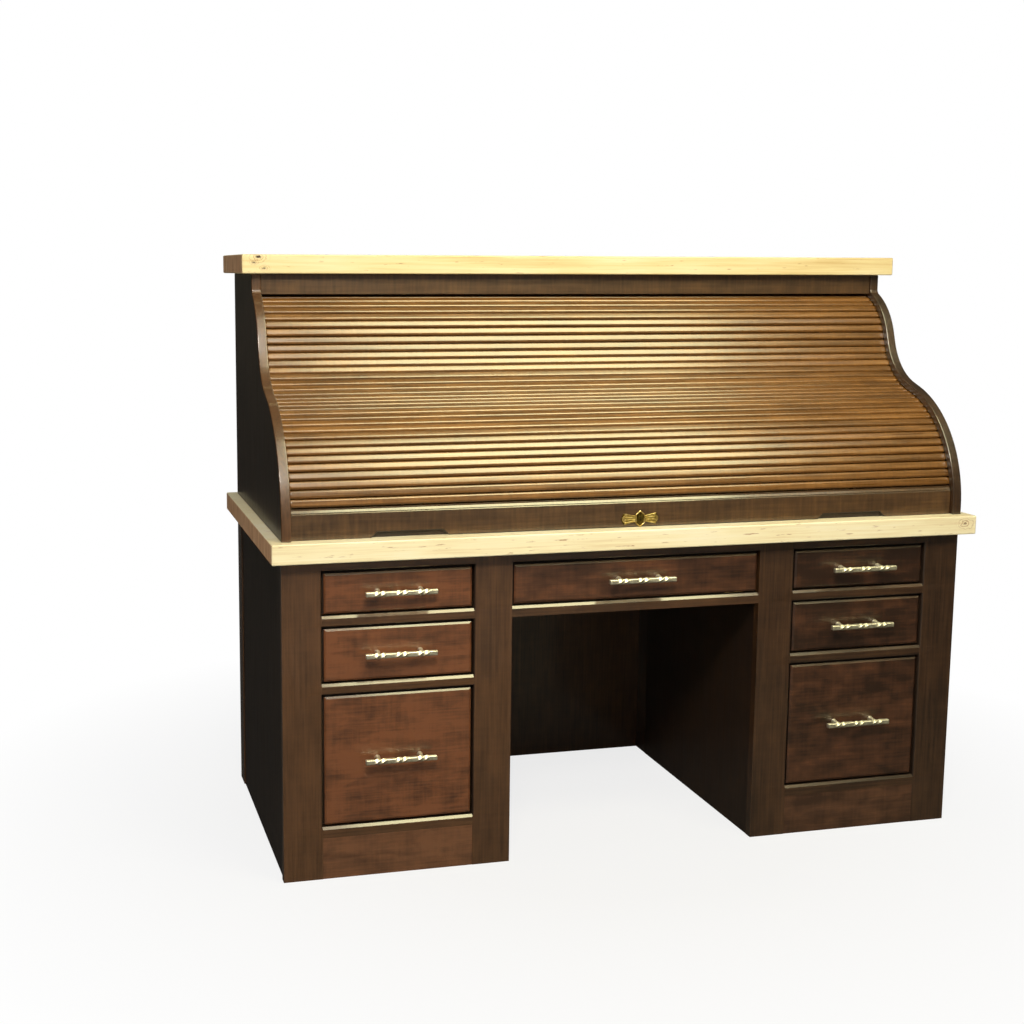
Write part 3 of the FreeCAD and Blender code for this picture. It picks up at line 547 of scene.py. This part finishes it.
posts = {"depth": 0.062, "wide": 0.020, "kneeHalf": 0.2985, "ease": 0.002}
low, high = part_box("rear_posts")
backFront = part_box("back_panel")[0].y
postBoxes = []
for sign in (-1, 1):
    for x0, x1, y1 in ((high.x - posts["wide"], high.x, high.y),
                       (posts["kneeHalf"], posts["kneeHalf"] + posts["wide"], backFront)):
        xs = sorted((sign * x0, sign * x1))
        postBoxes.append((Vector((xs[0], y1 - posts["depth"], low.z)), Vector((xs[1], y1, high.z))))
plainBoards("rearPosts", postBoxes, dark["z"], "dark_maple", ["rear_posts"], posts["ease"])
for name, node in (("backPanel", "back_panel"), ("upperBack", "upper_back")):
    plainBoards(name, [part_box(node)], dark["z"], "dark_maple", [node])
plainBoards("headerRail", [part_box("header_rail")], curly, "dark_maple", ["header_rail"], posts["ease"])

rollEnd = {"browY": 0.0499, "browZ": 1.272, "browNear": 0.001, "cove": 0.008, "ease": 0.0024}
for side in ("left", "right"):
    outward = 1 if side == "right" else -1
    end = easedCopy(side + "_roll_end", side + "RollEnd", dark["z"], 0)
    edgesWhere(end, lambda p: abs(p.y - rollEnd["browY"]) < rollEnd["browNear"]
               and abs(p.z - rollEnd["browZ"]) < rollEnd["browNear"])
    bpy.ops.mesh.bevel(offset=rollEnd["cove"], segments=6)
    bpy.ops.object.mode_set(mode="OBJECT")
    easeEdges(end, rollEnd["ease"], 3)
    end.data.materials.append(deep)
    for face in end.data.polygons:  # painted shade: the outer face takes the darker finish
        if face.normal.x * outward > facing:
            face.material_index = 1
    markBoard(end)
    settle(end, "desk", "dark_maple", side + "_roll_end")
for node in ("left_runners", "right_runners", "centre_runners", "pedestal_bottoms"):
    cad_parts[node].data.materials.clear()
    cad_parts[node].data.materials.append(inner["y"])
print("carcase done")


# Drawers

drawerFront = {"rebate": 0.0020, "raised": 0.009, "slopeWide": 0.0046, "slopeDeep": 0.0027, "ease": 0.0005,
               "skin": 0.0002, "back": 0.001, "slopeNormal": (0.3, 0.8),
               # the lift sets a drawer front's tone down or up: painted shade, darker for the top left drawer
               # under the desktop's overhang, lighter for the lower right ones
               "lift": {"left_top": -0.22, "right_middle": 0.06, "right_file": 0.24}}
drawerBox = {"wall": 0.012, "floor": 0.006, "floorRise": 0.0097, "ease": 0.0008}
drawerNames = [f"{side}_{level}" for side in ("left", "right") for level in order] + ["centre"]


def camel(words):
    first, *rest = words.split("_")
    return first + "".join(word.title() for word in rest)


def makeDrawerFront(name):
    low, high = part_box(name + "_front")
    raised = drawerFront["raised"]
    front = addBox(low + Vector((0, raised, 0)), high)
    facesWhere(front, lambda face: face.normal.y < -facing)
    bpy.ops.mesh.inset(thickness=drawerFront["rebate"], depth=0)
    flank = raised - drawerFront["slopeDeep"]
    bpy.ops.mesh.extrude_region_move(TRANSFORM_OT_translate={"value": (0, -flank, 0)})
    bpy.ops.mesh.inset(thickness=drawerFront["slopeWide"], depth=drawerFront["slopeDeep"])
    bpy.ops.object.mode_set(mode="OBJECT")
    easeEdges(front, drawerFront["ease"], 2)
    for finish in (drawerStain, deep, dark["x"]):
        front.data.materials.append(finish)
    flankFront = low.y + drawerFront["slopeDeep"] + drawerFront["skin"]
    flattest, steepest = drawerFront["slopeNormal"]
    for face in front.data.polygons:
        if flattest < face.normal.z < steepest:  # the slope along the top takes the frame's darker, glossier finish, painted so that its highlight shows cream
            face.material_index = 2
        # the flanks of the raised front take the darker finish: painted shade in the gap round the drawer
        if flankFront < face.center.y < high.y - drawerFront["back"]:
            face.material_index = 1
    # the front's tone carries the painted shade lift
    markBoard(front, drawerFront["lift"].get(name, 0.0))
    front.name = camel(name) + "Front"
    settle(front, name + "_drawer", "drawer_maple", name + "_front", smooth=22)


def makeDrawerBox(name):
    low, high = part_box(name + "_box")
    wall = drawerBox["wall"]
    floorLow = low.z + drawerBox["floorRise"]
    boxes = [((low.x, low.y, low.z), (low.x + wall, high.y, high.z), "y"),
             ((high.x - wall, low.y, low.z), (high.x, high.y, high.z), "y"),
             ((low.x + wall, low.y, low.z), (high.x - wall, low.y + wall, high.z), "x"),
             ((low.x + wall, high.y - wall, low.z), (high.x - wall, high.y, high.z), "x"),
             ((low.x + wall, low.y + wall, floorLow),
              (high.x - wall, high.y - wall, floorLow + drawerBox["floor"]), "x")]
    boards = [makeBoard(start, end, inner[axis], drawerBox["ease"]) for start, end, axis in boxes]
    settle(joinPieces(camel(name) + "Box", boards), name + "_drawer", "inner_maple", name + "_box")


pull = {"bar": 0.0105, "twists": (0.2, 0.5, 0.8), "zone": 0.18, "cuts": 120, "ease": 0.0020,
        "post": 0.0092, "foot": 1.45, "flare": 0.010}


def makePull(low, high):
    height = (low.z + high.z) / 2
    reach = pull["bar"] * math.sqrt(0.5)
    barY = low.y + reach
    half = pull["bar"] / 2
    length = high.x - low.x
    bar = addBox((low.x, barY - half, height - half), (high.x, barY + half, height + half))
    easeEdges(bar, pull["ease"], 3)
    pickEdges(bar, lambda one, other: abs(one.x - other.x) > length / 2)
    bpy.ops.mesh.subdivide(number_cuts=pull["cuts"])
    bpy.ops.object.mode_set(mode="OBJECT")
    for point in bar.data.vertices:  # three half turns, with straight bar between them
        share = (point.co.x - low.x) / length
        turns = [min(max((share - place) / pull["zone"] + 0.5, 0), 1) for place in pull["twists"]]
        turn = -math.pi * sum(turns)
        y, z = point.co.y - barY, point.co.z - height
        point.co.y = barY + y * math.cos(turn) - z * math.sin(turn)
        point.co.z = height + y * math.sin(turn) + z * math.cos(turn)
    pieces = [bar]
    for place in (pull["twists"][0], pull["twists"][-1]):
        x = low.x + length * place
        bpy.ops.object.select_all(action="DESELECT")
        bpy.ops.mesh.primitive_cylinder_add(vertices=24, radius=pull["post"] / 2, depth=high.y - barY,
                                            location=(x, (high.y + barY) / 2, height),
                                            rotation=(math.pi / 2, 0, 0))
        post = bpy.context.object
        bpy.ops.object.transform_apply(location=True, rotation=True, scale=True)
        bisectAt(post, (x, high.y - pull["flare"], height), (0, 1, 0))
        edgesWhere(post, lambda p: p.y > high.y - near)
        bpy.ops.transform.resize(value=(pull["foot"], 1, pull["foot"]), center_override=(x, high.y, height))
        bpy.ops.object.mode_set(mode="OBJECT")
        pieces.append(post)
    piece = joinPieces("pull", pieces)
    piece.data.materials.clear()
    piece.data.materials.append(nickel)
    return piece


firstLow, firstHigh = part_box(drawerNames[0] + "_pull")
pullModel = makePull(firstLow, firstHigh)
for name in drawerNames:
    makeDrawerFront(name)
    makeDrawerBox(name)
    piece = bpy.data.objects.new(camel(name) + "Pull", pullModel.data.copy())
    bpy.context.scene.collection.objects.link(piece)
    piece.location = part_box(name + "_pull")[0] - firstLow
    selectOnly(piece)
    bpy.ops.object.transform_apply(location=True, rotation=True, scale=True)
    settle(piece, name + "_drawer", "nickel", name + "_pull")
bpy.data.objects.remove(pullModel)
print("drawers done")


# Tambour: slats on their track, canvas behind them

track = {  # the line that the slats' backs follow, from the desktop up and over to the back
    "start": (-0.328, 0.756), "rise": 0.019, "lowerRadius": 0.258, "shoulder": 0.027, "hollowRadius": 0.177,
    "bendRadius": 0.139, "shoulderAngle": 19, "leanAngle": 72, "runHeight": 1.262,
    "run": 1.0,
}
slats = {"groups": 9, "perGroup": 4, "pitch": 0.019, "wide": 0.0178, "thick": 0.011, "first": 0.0669,
         "round": 0.0052, "endGap": 0.001, "tongueLong": 0.008, "tongueThick": 0.008, "tongueWide": 0.014,
         "tongueRoot": 0.012}
cloth = {"gap": 0.0005, "thick": 0.001, "inset": 0.060}
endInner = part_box("header_rail")[1].x


def stretchesOf():  # length and 0 for a straight stretch, radius and turn in degrees for a round one
    hollow = track["leanAngle"] - track["shoulderAngle"]
    a, b = math.radians(track["shoulderAngle"]), math.radians(track["leanAngle"])
    shoulderTop = track["start"][1] + track["rise"] + track["lowerRadius"] * math.cos(a)
    top = (shoulderTop + track["shoulder"] * math.sin(a)
           + track["hollowRadius"] * (math.cos(a) - math.cos(b)))
    lean = (track["runHeight"] - top - track["bendRadius"] * (1 - math.cos(b))) / math.sin(b)
    return [(track["rise"], 0), (track["lowerRadius"], track["shoulderAngle"] - 90), (track["shoulder"], 0),
            (track["hollowRadius"], hollow), (lean, 0), (track["bendRadius"], -track["leanAngle"]),
            (track["run"], 0)]


stretches = stretchesOf()


def onTrack(distance):  # place and heading after a distance along the track
    y, z = track["start"]
    heading = math.radians(90)
    for size, turn in stretches:
        length = size * math.radians(abs(turn)) if turn else size
        part = min(distance, length)
        if turn:
            sign = math.copysign(1, turn)
            after = heading + sign * part / size
            y += sign * size * (math.sin(after) - math.sin(heading))
            z -= sign * size * (math.cos(after) - math.cos(heading))
            heading = after
        else:
            y += part * math.cos(heading)
            z += part * math.sin(heading)
        distance -= part
        if distance <= 0:
            break
    return y, z, heading


def makeSlat():  # lying flat: X along the slat, Y along the track, Z out of the front
    half = endInner - slats["endGap"]
    wide = slats["wide"] / 2
    slat = addBox((-half, -wide, 0), (half, wide, slats["thick"]))
    edgesWhere(slat, lambda p: p.z > slats["thick"] - near)
    bpy.ops.mesh.bevel(offset=slats["round"], segments=6, profile=0.5)
    bpy.ops.object.mode_set(mode="OBJECT")
    pieces = [slat]
    tongueLow = (slats["thick"] - slats["tongueThick"]) / 2
    for sign in (-1, 1):
        xs = sorted((sign * (half - slats["tongueRoot"]), sign * (endInner + slats["tongueLong"])))
        pieces.append(addBox((xs[0], -slats["tongueWide"] / 2, tongueLow),
                             (xs[1], slats["tongueWide"] / 2, tongueLow + slats["tongueThick"])))
    return joinPieces("slat", pieces)


model = makeSlat()
model.data.materials.append(slatStain)
for number in range(slats["groups"]):
    begin = slats["first"] + number * slats["perGroup"] * slats["pitch"]
    copies = []
    for k in range(slats["perGroup"]):
        y, z, heading = onTrack(begin + (k + 0.5) * slats["pitch"])
        copy = bpy.data.objects.new("slat", model.data.copy())
        bpy.context.scene.collection.objects.link(copy)
        copy.location = (0, y, z)
        copy.rotation_euler = (heading, 0, 0)
        selectOnly(copy)
        bpy.ops.object.transform_apply(location=True, rotation=True, scale=True)
        markBoard(copy)
        copies.append(copy)
    piece = joinPieces(f"tambourSlats{number + 1}", copies)
    settle(piece, f"slats_{number + 1}", "slat_maple", f"tambour_slats_{number + 1}")

    bpy.ops.object.select_all(action="DESELECT")
    bpy.ops.mesh.primitive_grid_add(x_subdivisions=2, y_subdivisions=8, size=1)
    strip = bpy.context.object
    half = endInner - cloth["inset"]
    long = slats["perGroup"] * slats["pitch"] - 2 * cloth["gap"]
    for point in strip.data.vertices:
        y, z, heading = onTrack(begin + cloth["gap"] + (point.co.y + 0.5) * long)
        back = cloth["gap"] + cloth["thick"] / 2
        point.co = (point.co.x * 2 * half, y + back * math.sin(heading), z - back * math.cos(heading))
    solid = strip.modifiers.new("thick", "SOLIDIFY")
    solid.thickness = cloth["thick"]
    solid.offset = 0
    applyModifiers(strip)
    strip.name = f"canvas{number + 1}"
    strip.data.materials.append(canvas)
    settle(strip, f"slats_{number + 1}", None)
bpy.data.objects.remove(model)
print("tambour done")


# Lift rail with its bead, and the lock

railEase = 0.0005
railBead = {"slopeTall": 0.0080, "slopeDeep": 0.0066, "setBack": 0.0008, "deep": 0.0080, "ease": 0.0006,
            "quirk": 0.0013, "rollTall": 0.0036, "rollDeep": 0.005, "rollEdge": 0.0017, "proud": 0.0006}
notch = {"middle": 0.530, "half": 0.088, "tall": 0.0125, "edge": 0.0020, "shallow": 0.0005, "deepest": 0.02}
rail = easedCopy("lift_rail", "liftRail", curly, 0)
rail.data.materials.append(deep)
low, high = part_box("lift_rail")


def inNotch(p):
    return p.z < low.z + notch["tall"] and abs(abs(p.x) - notch["middle"]) < notch["half"]


# the notch edges and insides take the darker finish: painted shade
edgesWhere(rail, lambda p: p.y < low.y + near and inNotch(p))
bpy.ops.mesh.bevel(offset=notch["edge"], segments=2, material=1)
bpy.ops.object.mode_set(mode="OBJECT")
for face in rail.data.polygons:  # painted shade inside the notches
    if inNotch(face.center) and notch["shallow"] < face.center.y - low.y < notch["deepest"]:
        face.material_index = 1
easeEdges(rail, railEase, 2)
markBoard(rail)
slopeLow = high.z - railBead["slopeTall"]
slopeFront = low.y + railBead["setBack"]
slope = addBox((low.x, slopeFront, slopeLow), (high.x, slopeFront + railBead["deep"], high.z))
edgesWhere(slope, lambda p: p.z > high.z - near and p.y < slopeFront + near)
bpy.ops.transform.translate(value=(0, railBead["slopeDeep"], 0))
bpy.ops.object.mode_set(mode="OBJECT")
easeEdges(slope, railBead["ease"], 2)
rollHigh = slopeLow - railBead["quirk"]
roll = addBox((low.x, low.y - railBead["proud"], rollHigh - railBead["rollTall"]),
              (high.x, low.y + railBead["rollDeep"], rollHigh))
edgesWhere(roll, lambda p: p.y < low.y)
bpy.ops.mesh.bevel(offset=railBead["rollEdge"], segments=1)
bpy.ops.object.mode_set(mode="OBJECT")
for piece in (slope, roll):
    piece.data.materials.append(curly)
    markBoard(piece)
settle(joinPieces("liftRail", [rail, slope, roll]), "roll", "dark_maple", "lift_rail")

crest = {"ease": 0.0004, "sunk": 0.0008}
crestRim = {"halfWide": 0.011, "halfSide": 0.010, "halfTall": 0.019, "wide": 0.0022, "proud": 0.0012,
            "sunk": 0.001, "ease": 0.0009}
crestRib = {"count": 4, "root": 0.012, "end": 0.0375, "rootSpread": 0.0055, "endSpread": 0.0098,
            "rootHalf": 0.0013, "endHalf": 0.0024, "proud": 0.0009, "ease": 0.0005}
crestTip = {"inside": 0.0380, "outside": 0.0432, "half": 0.0088, "narrow": 0.35, "proud": 0.0014,
            "ease": 0.0007}
plate = easedCopy("escutcheon", "escutcheon", darkBrass, crest["ease"])
low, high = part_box("escutcheon")
crestZ = (low.z + high.z) / 2
bpy.ops.object.select_all(action="DESELECT")
bpy.ops.mesh.primitive_circle_add(vertices=6, radius=crestRim["halfWide"], fill_type="NGON")
rim = bpy.context.object
corners = [(0, 1), (-1, 1), (-1, -1), (0, -1), (1, -1), (1, 1)]
for point, (across, up) in zip(rim.data.vertices, corners):
    tall = crestRim["halfTall"] if across == 0 else crestRim["halfSide"]
    point.co = (across * crestRim["halfWide"], low.y - crestRim["proud"], crestZ + up * tall)
facesWhere(rim, lambda face: True)
bpy.ops.mesh.inset(thickness=crestRim["wide"], depth=0)
bpy.ops.mesh.delete(type="FACE")
bpy.ops.mesh.select_all(action="SELECT")
rimDeep = crestRim["proud"] + crestRim["sunk"]
bpy.ops.mesh.extrude_region_move(TRANSFORM_OT_translate={"value": (0, rimDeep, 0)})
bpy.ops.mesh.select_all(action="SELECT")
bpy.ops.mesh.normals_make_consistent(inside=False)
bpy.ops.object.mode_set(mode="OBJECT")
easeEdges(rim, crestRim["ease"], 2)
ribs = [rim]
for sign in (-1, 1):
    for k in range(crestRib["count"]):
        level = 2 * k / (crestRib["count"] - 1) - 1
        rib = addBox((crestRib["root"], low.y - crestRib["proud"], -1),
                     (crestRib["end"], low.y + crest["sunk"], 1))
        for point in rib.data.vertices:
            place = "root" if point.co.x < crestRib["root"] + near else "end"
            spread = level * crestRib[place + "Spread"]
            point.co.z = crestZ + spread + point.co.z * crestRib[place + "Half"]
            point.co.x *= sign
        if sign < 0:
            facesWhere(rib, lambda face: True)
            bpy.ops.mesh.normals_make_consistent(inside=False)
            bpy.ops.object.mode_set(mode="OBJECT")
        easeEdges(rib, crestRib["ease"], 2)
        ribs.append(rib)
    xs = sorted((sign * crestTip["inside"], sign * crestTip["outside"]))
    tip = addBox((xs[0], low.y - crestTip["proud"], crestZ - crestTip["half"]),
                 (xs[1], low.y + crest["sunk"], crestZ + crestTip["half"]))
    for point in tip.data.vertices:
        if abs(point.co.x) > crestTip["outside"] - near:
            point.co.z = crestZ + (point.co.z - crestZ) * crestTip["narrow"]
    easeEdges(tip, crestTip["ease"], 2)
    ribs.append(tip)
for piece in ribs:
    piece.data.materials.clear()
    piece.data.materials.append(agedBrass)
settle(joinPieces("escutcheon", [plate] + ribs), "roll", "old_brass", "escutcheon")
for node, finish in (("lock_plug", darkBrass), ("strike_plate", agedBrass), ("lock_case", plainSteel),
                     ("lock_bolt", plainSteel)):
    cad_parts[node].data.materials.clear()
    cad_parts[node].data.materials.append(finish)
print("lift rail and lock done")


# Gallery of pigeonholes

gallery = {"board": 0.012, "panel": 0.006, "shelfShare": 0.42,
           "upperShares": (-0.75, -0.5, -0.25, 0.25, 0.5, 0.75), "lowerShares": (-0.5, 0.5)}
low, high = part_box("gallery_case")
board = gallery["board"]
shelfLow = low.z + (high.z - low.z) * gallery["shelfShare"]
caseBoxes = [((low.x, low.y, low.z), (low.x + board, high.y, high.z - board), "z"),
             ((high.x - board, low.y, low.z), (high.x, high.y, high.z - board), "z"),
             ((low.x, low.y, high.z - board), (high.x, high.y, high.z), "x"),
             ((low.x + board, low.y, shelfLow), (high.x - board, high.y, shelfLow + board), "x")]
caseBoards = [makeBoard(start, end, dark[axis]) for start, end, axis in caseBoxes]
settle(joinPieces("galleryCase", caseBoards), "desk", "gallery_maple", "gallery_case")
rows = {"upper": (shelfLow + board, high.z - board), "lower": (low.z, shelfLow)}
half = gallery["panel"] / 2
dividers = []
for row, (bottom, top) in rows.items():
    for share in gallery[row + "Shares"]:
        x = high.x * share
        dividers.append(makeBoard((x - half, low.y, bottom), (x + half, high.y, top), dark["z"]))
settle(joinPieces("galleryDividers", dividers), "desk", "gallery_maple", "gallery_dividers")
plainBoards("galleryBack", [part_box("gallery_back")], dark["x"], "gallery_maple", ["gallery_back"])
print("gallery done")


# Stage: pale floor, studio light, camera

def seenDirectly(tree):  # 1 for what is seen straight, mirrored or through glass
    path = addNode(tree, "ShaderNodeLightPath").outputs
    seen = path["Is Camera Ray"]
    for ray in ("Is Glossy Ray", "Is Transmission Ray"):
        seen = addNode(tree, "ShaderNodeMath", {0: seen, 1: path[ray]}, operation="MAXIMUM").outputs[0]
    return seen


ground = {"size": 60, "tone": "#c8c8c5", "rough": 0.9, "fadeStart": 0.6, "fadeEnd": 1.7, "leastGlow": 0.80}
bpy.ops.object.select_all(action="DESELECT")
bpy.ops.mesh.primitive_plane_add(size=ground["size"], location=(0, 0, 0))
floor = bpy.context.object
floor.name = "floor"
paleFloor, tree, shader, place = newFinish("paleFloor")
shader.inputs["Base Color"].default_value = linear(ground["tone"])
shader.inputs["Roughness"].default_value = ground["rough"]
far = addNode(tree, "ShaderNodeVectorMath", {0: place}, operation="LENGTH")
fade = addNode(tree, "ShaderNodeMapRange", {"Value": far.outputs["Value"], "From Min": ground["fadeStart"],
                                            "From Max": ground["fadeEnd"], "To Min": ground["leastGlow"],
                                            "To Max": 1.0})
share = addNode(tree, "ShaderNodeMath", {0: fade.outputs["Result"], 1: seenDirectly(tree)},
                operation="MULTIPLY")
glow = addNode(tree, "ShaderNodeEmission", {"Color": (1, 1, 1, 1), "Strength": 1.0})
mix = addNode(tree, "ShaderNodeMixShader", {0: share.outputs[0], 1: shader.outputs[0], 2: glow.outputs[0]})
tree.links.new(mix.outputs[0], tree.nodes["Material Output"].inputs["Surface"])
floor.data.materials.append(paleFloor)

roomLight = 0.16  # what the white room adds to the light
world = bpy.data.worlds.new("studio")
bpy.context.scene.world = world
world.use_nodes = True
tree = world.node_tree
strength = addNode(tree, "ShaderNodeMapRange", {"Value": seenDirectly(tree), "To Min": roomLight,
                                                "To Max": 1.0})
tree.nodes["Background"].inputs["Color"].default_value = (1, 1, 1, 1)
tree.links.new(strength.outputs["Result"], tree.nodes["Background"].inputs["Strength"])

lamps = {  # the overhead lamp lights the wood, the soft box shows in the lacquer and the metal
    "overhead": {"place": (0.55, -1.7, 3.0), "aim": (0.2, -0.3, 0.8), "size": (1.5, 0.6), "watts": 44,
                 "colour": "#fff4d6", "rays": ("diffuse",)},
    "frontHigh": {"place": (-1.1, -2.8, 2.9), "aim": (-0.1, -0.3, 0.7), "size": (0.8, 0.6), "watts": 90,
                  "colour": "#fff8ec", "rays": ("diffuse", "glossy")},
    "softBox": {"place": (0.62, -1.5, 2.9), "aim": (0.40, -0.6, 0.9), "size": (1.6, 3.0), "watts": 164,
                "colour": "#fdfac0", "rays": ("glossy",)},
}
for name, lamp in lamps.items():
    light = bpy.data.lights.new(name, "AREA")
    light.shape = "RECTANGLE"
    light.size, light.size_y = lamp["size"]
    light.energy = lamp["watts"]
    light.color = linear(lamp["colour"])[:3]
    holder = bpy.data.objects.new(name, light)
    bpy.context.scene.collection.objects.link(holder)
    holder.location = lamp["place"]
    holder.visible_diffuse = "diffuse" in lamp["rays"]
    holder.visible_glossy = "glossy" in lamp["rays"]
    holder.rotation_euler = (Vector(lamp["aim"]) - Vector(lamp["place"])).to_track_quat("-Z", "Y").to_euler()

# Dark cards round the desk, out of shot: the lacquer mirrors them instead of the white room
flags = {"front": ((-3, -1.9, 0), (3, -1.9, 1.9)), "back": ((-3, 0.80, 0), (3, 0.80, 3.3)),
         "left": ((-1.4, -3, 0), (-1.4, 3, 2.2)), "right": ((1.4, -3, 0), (1.4, 3, 2.2)),
         "mat": ((-1.4, -1.9, 0.0005), (1.4, 0.80, 0.001)), "roof": ((-3, -0.9, 3.3), (3, 3, 3.302))}
flagThick = Vector((0.002, 0.002, 0))
card = {"tone": "#221f1c", "rough": 0.9, "glow": "#fff8ec", "leftEnds": 0.2, "rightStarts": 1.1}


def greyCard(name, left, right):  # glow of the card's left and right part
    material, tree, shader, place = newFinish(name)
    shader.inputs["Base Color"].default_value = linear(card["tone"])
    shader.inputs["Roughness"].default_value = card["rough"]
    shader.inputs["Emission Color"].default_value = linear(card["glow"])
    apart = addNode(tree, "ShaderNodeSeparateXYZ", {0: place})
    glow = addNode(tree, "ShaderNodeMapRange", {"Value": apart.outputs["X"], "From Min": card["leftEnds"],
                                                "From Max": card["rightStarts"], "To Min": left,
                                                "To Max": right})
    tree.links.new(glow.outputs["Result"], shader.inputs["Emission Strength"])
    return material


# the cards glow faintly and show only in reflections: painted reflection, the front card brighter on the left
# than on the right
darkCard = greyCard("darkCard", 0.02, 0.02)
frontCard = greyCard("frontCard", 0.16, 0.05)
for name, (low, high) in flags.items():
    flag = addBox(Vector(low) - flagThick, Vector(high) + flagThick)
    flag.name = name + "Flag"
    flag.data.materials.append(frontCard if name == "front" else darkCard)
    flag.visible_camera = False
    flag.visible_diffuse = False
    flag.visible_shadow = False

view = {"place": (-1.2891, -3.3680, 1.3253), "yaw": 0.2473, "pitch": -0.1422, "roll": 0.0033,
        "lens": 51.61, "shift": (0.0970, -0.0311)}
camera = bpy.data.cameras.new("camera")
camera.lens = view["lens"]
camera.sensor_width = 36
camera.shift_x, camera.shift_y = view["shift"]
eye = bpy.data.objects.new("camera", camera)
bpy.context.scene.collection.objects.link(eye)
eye.location = view["place"]
turn = Matrix.Rotation(-view["yaw"], 4, "Z") @ Matrix.Rotation(math.pi / 2 + view["pitch"], 4, "X")
eye.rotation_euler = (turn @ Matrix.Rotation(view["roll"], 4, "Z")).to_euler()
bpy.context.scene.camera = eye
bpy.context.scene.view_settings.view_transform = "Standard"
print("stage done")
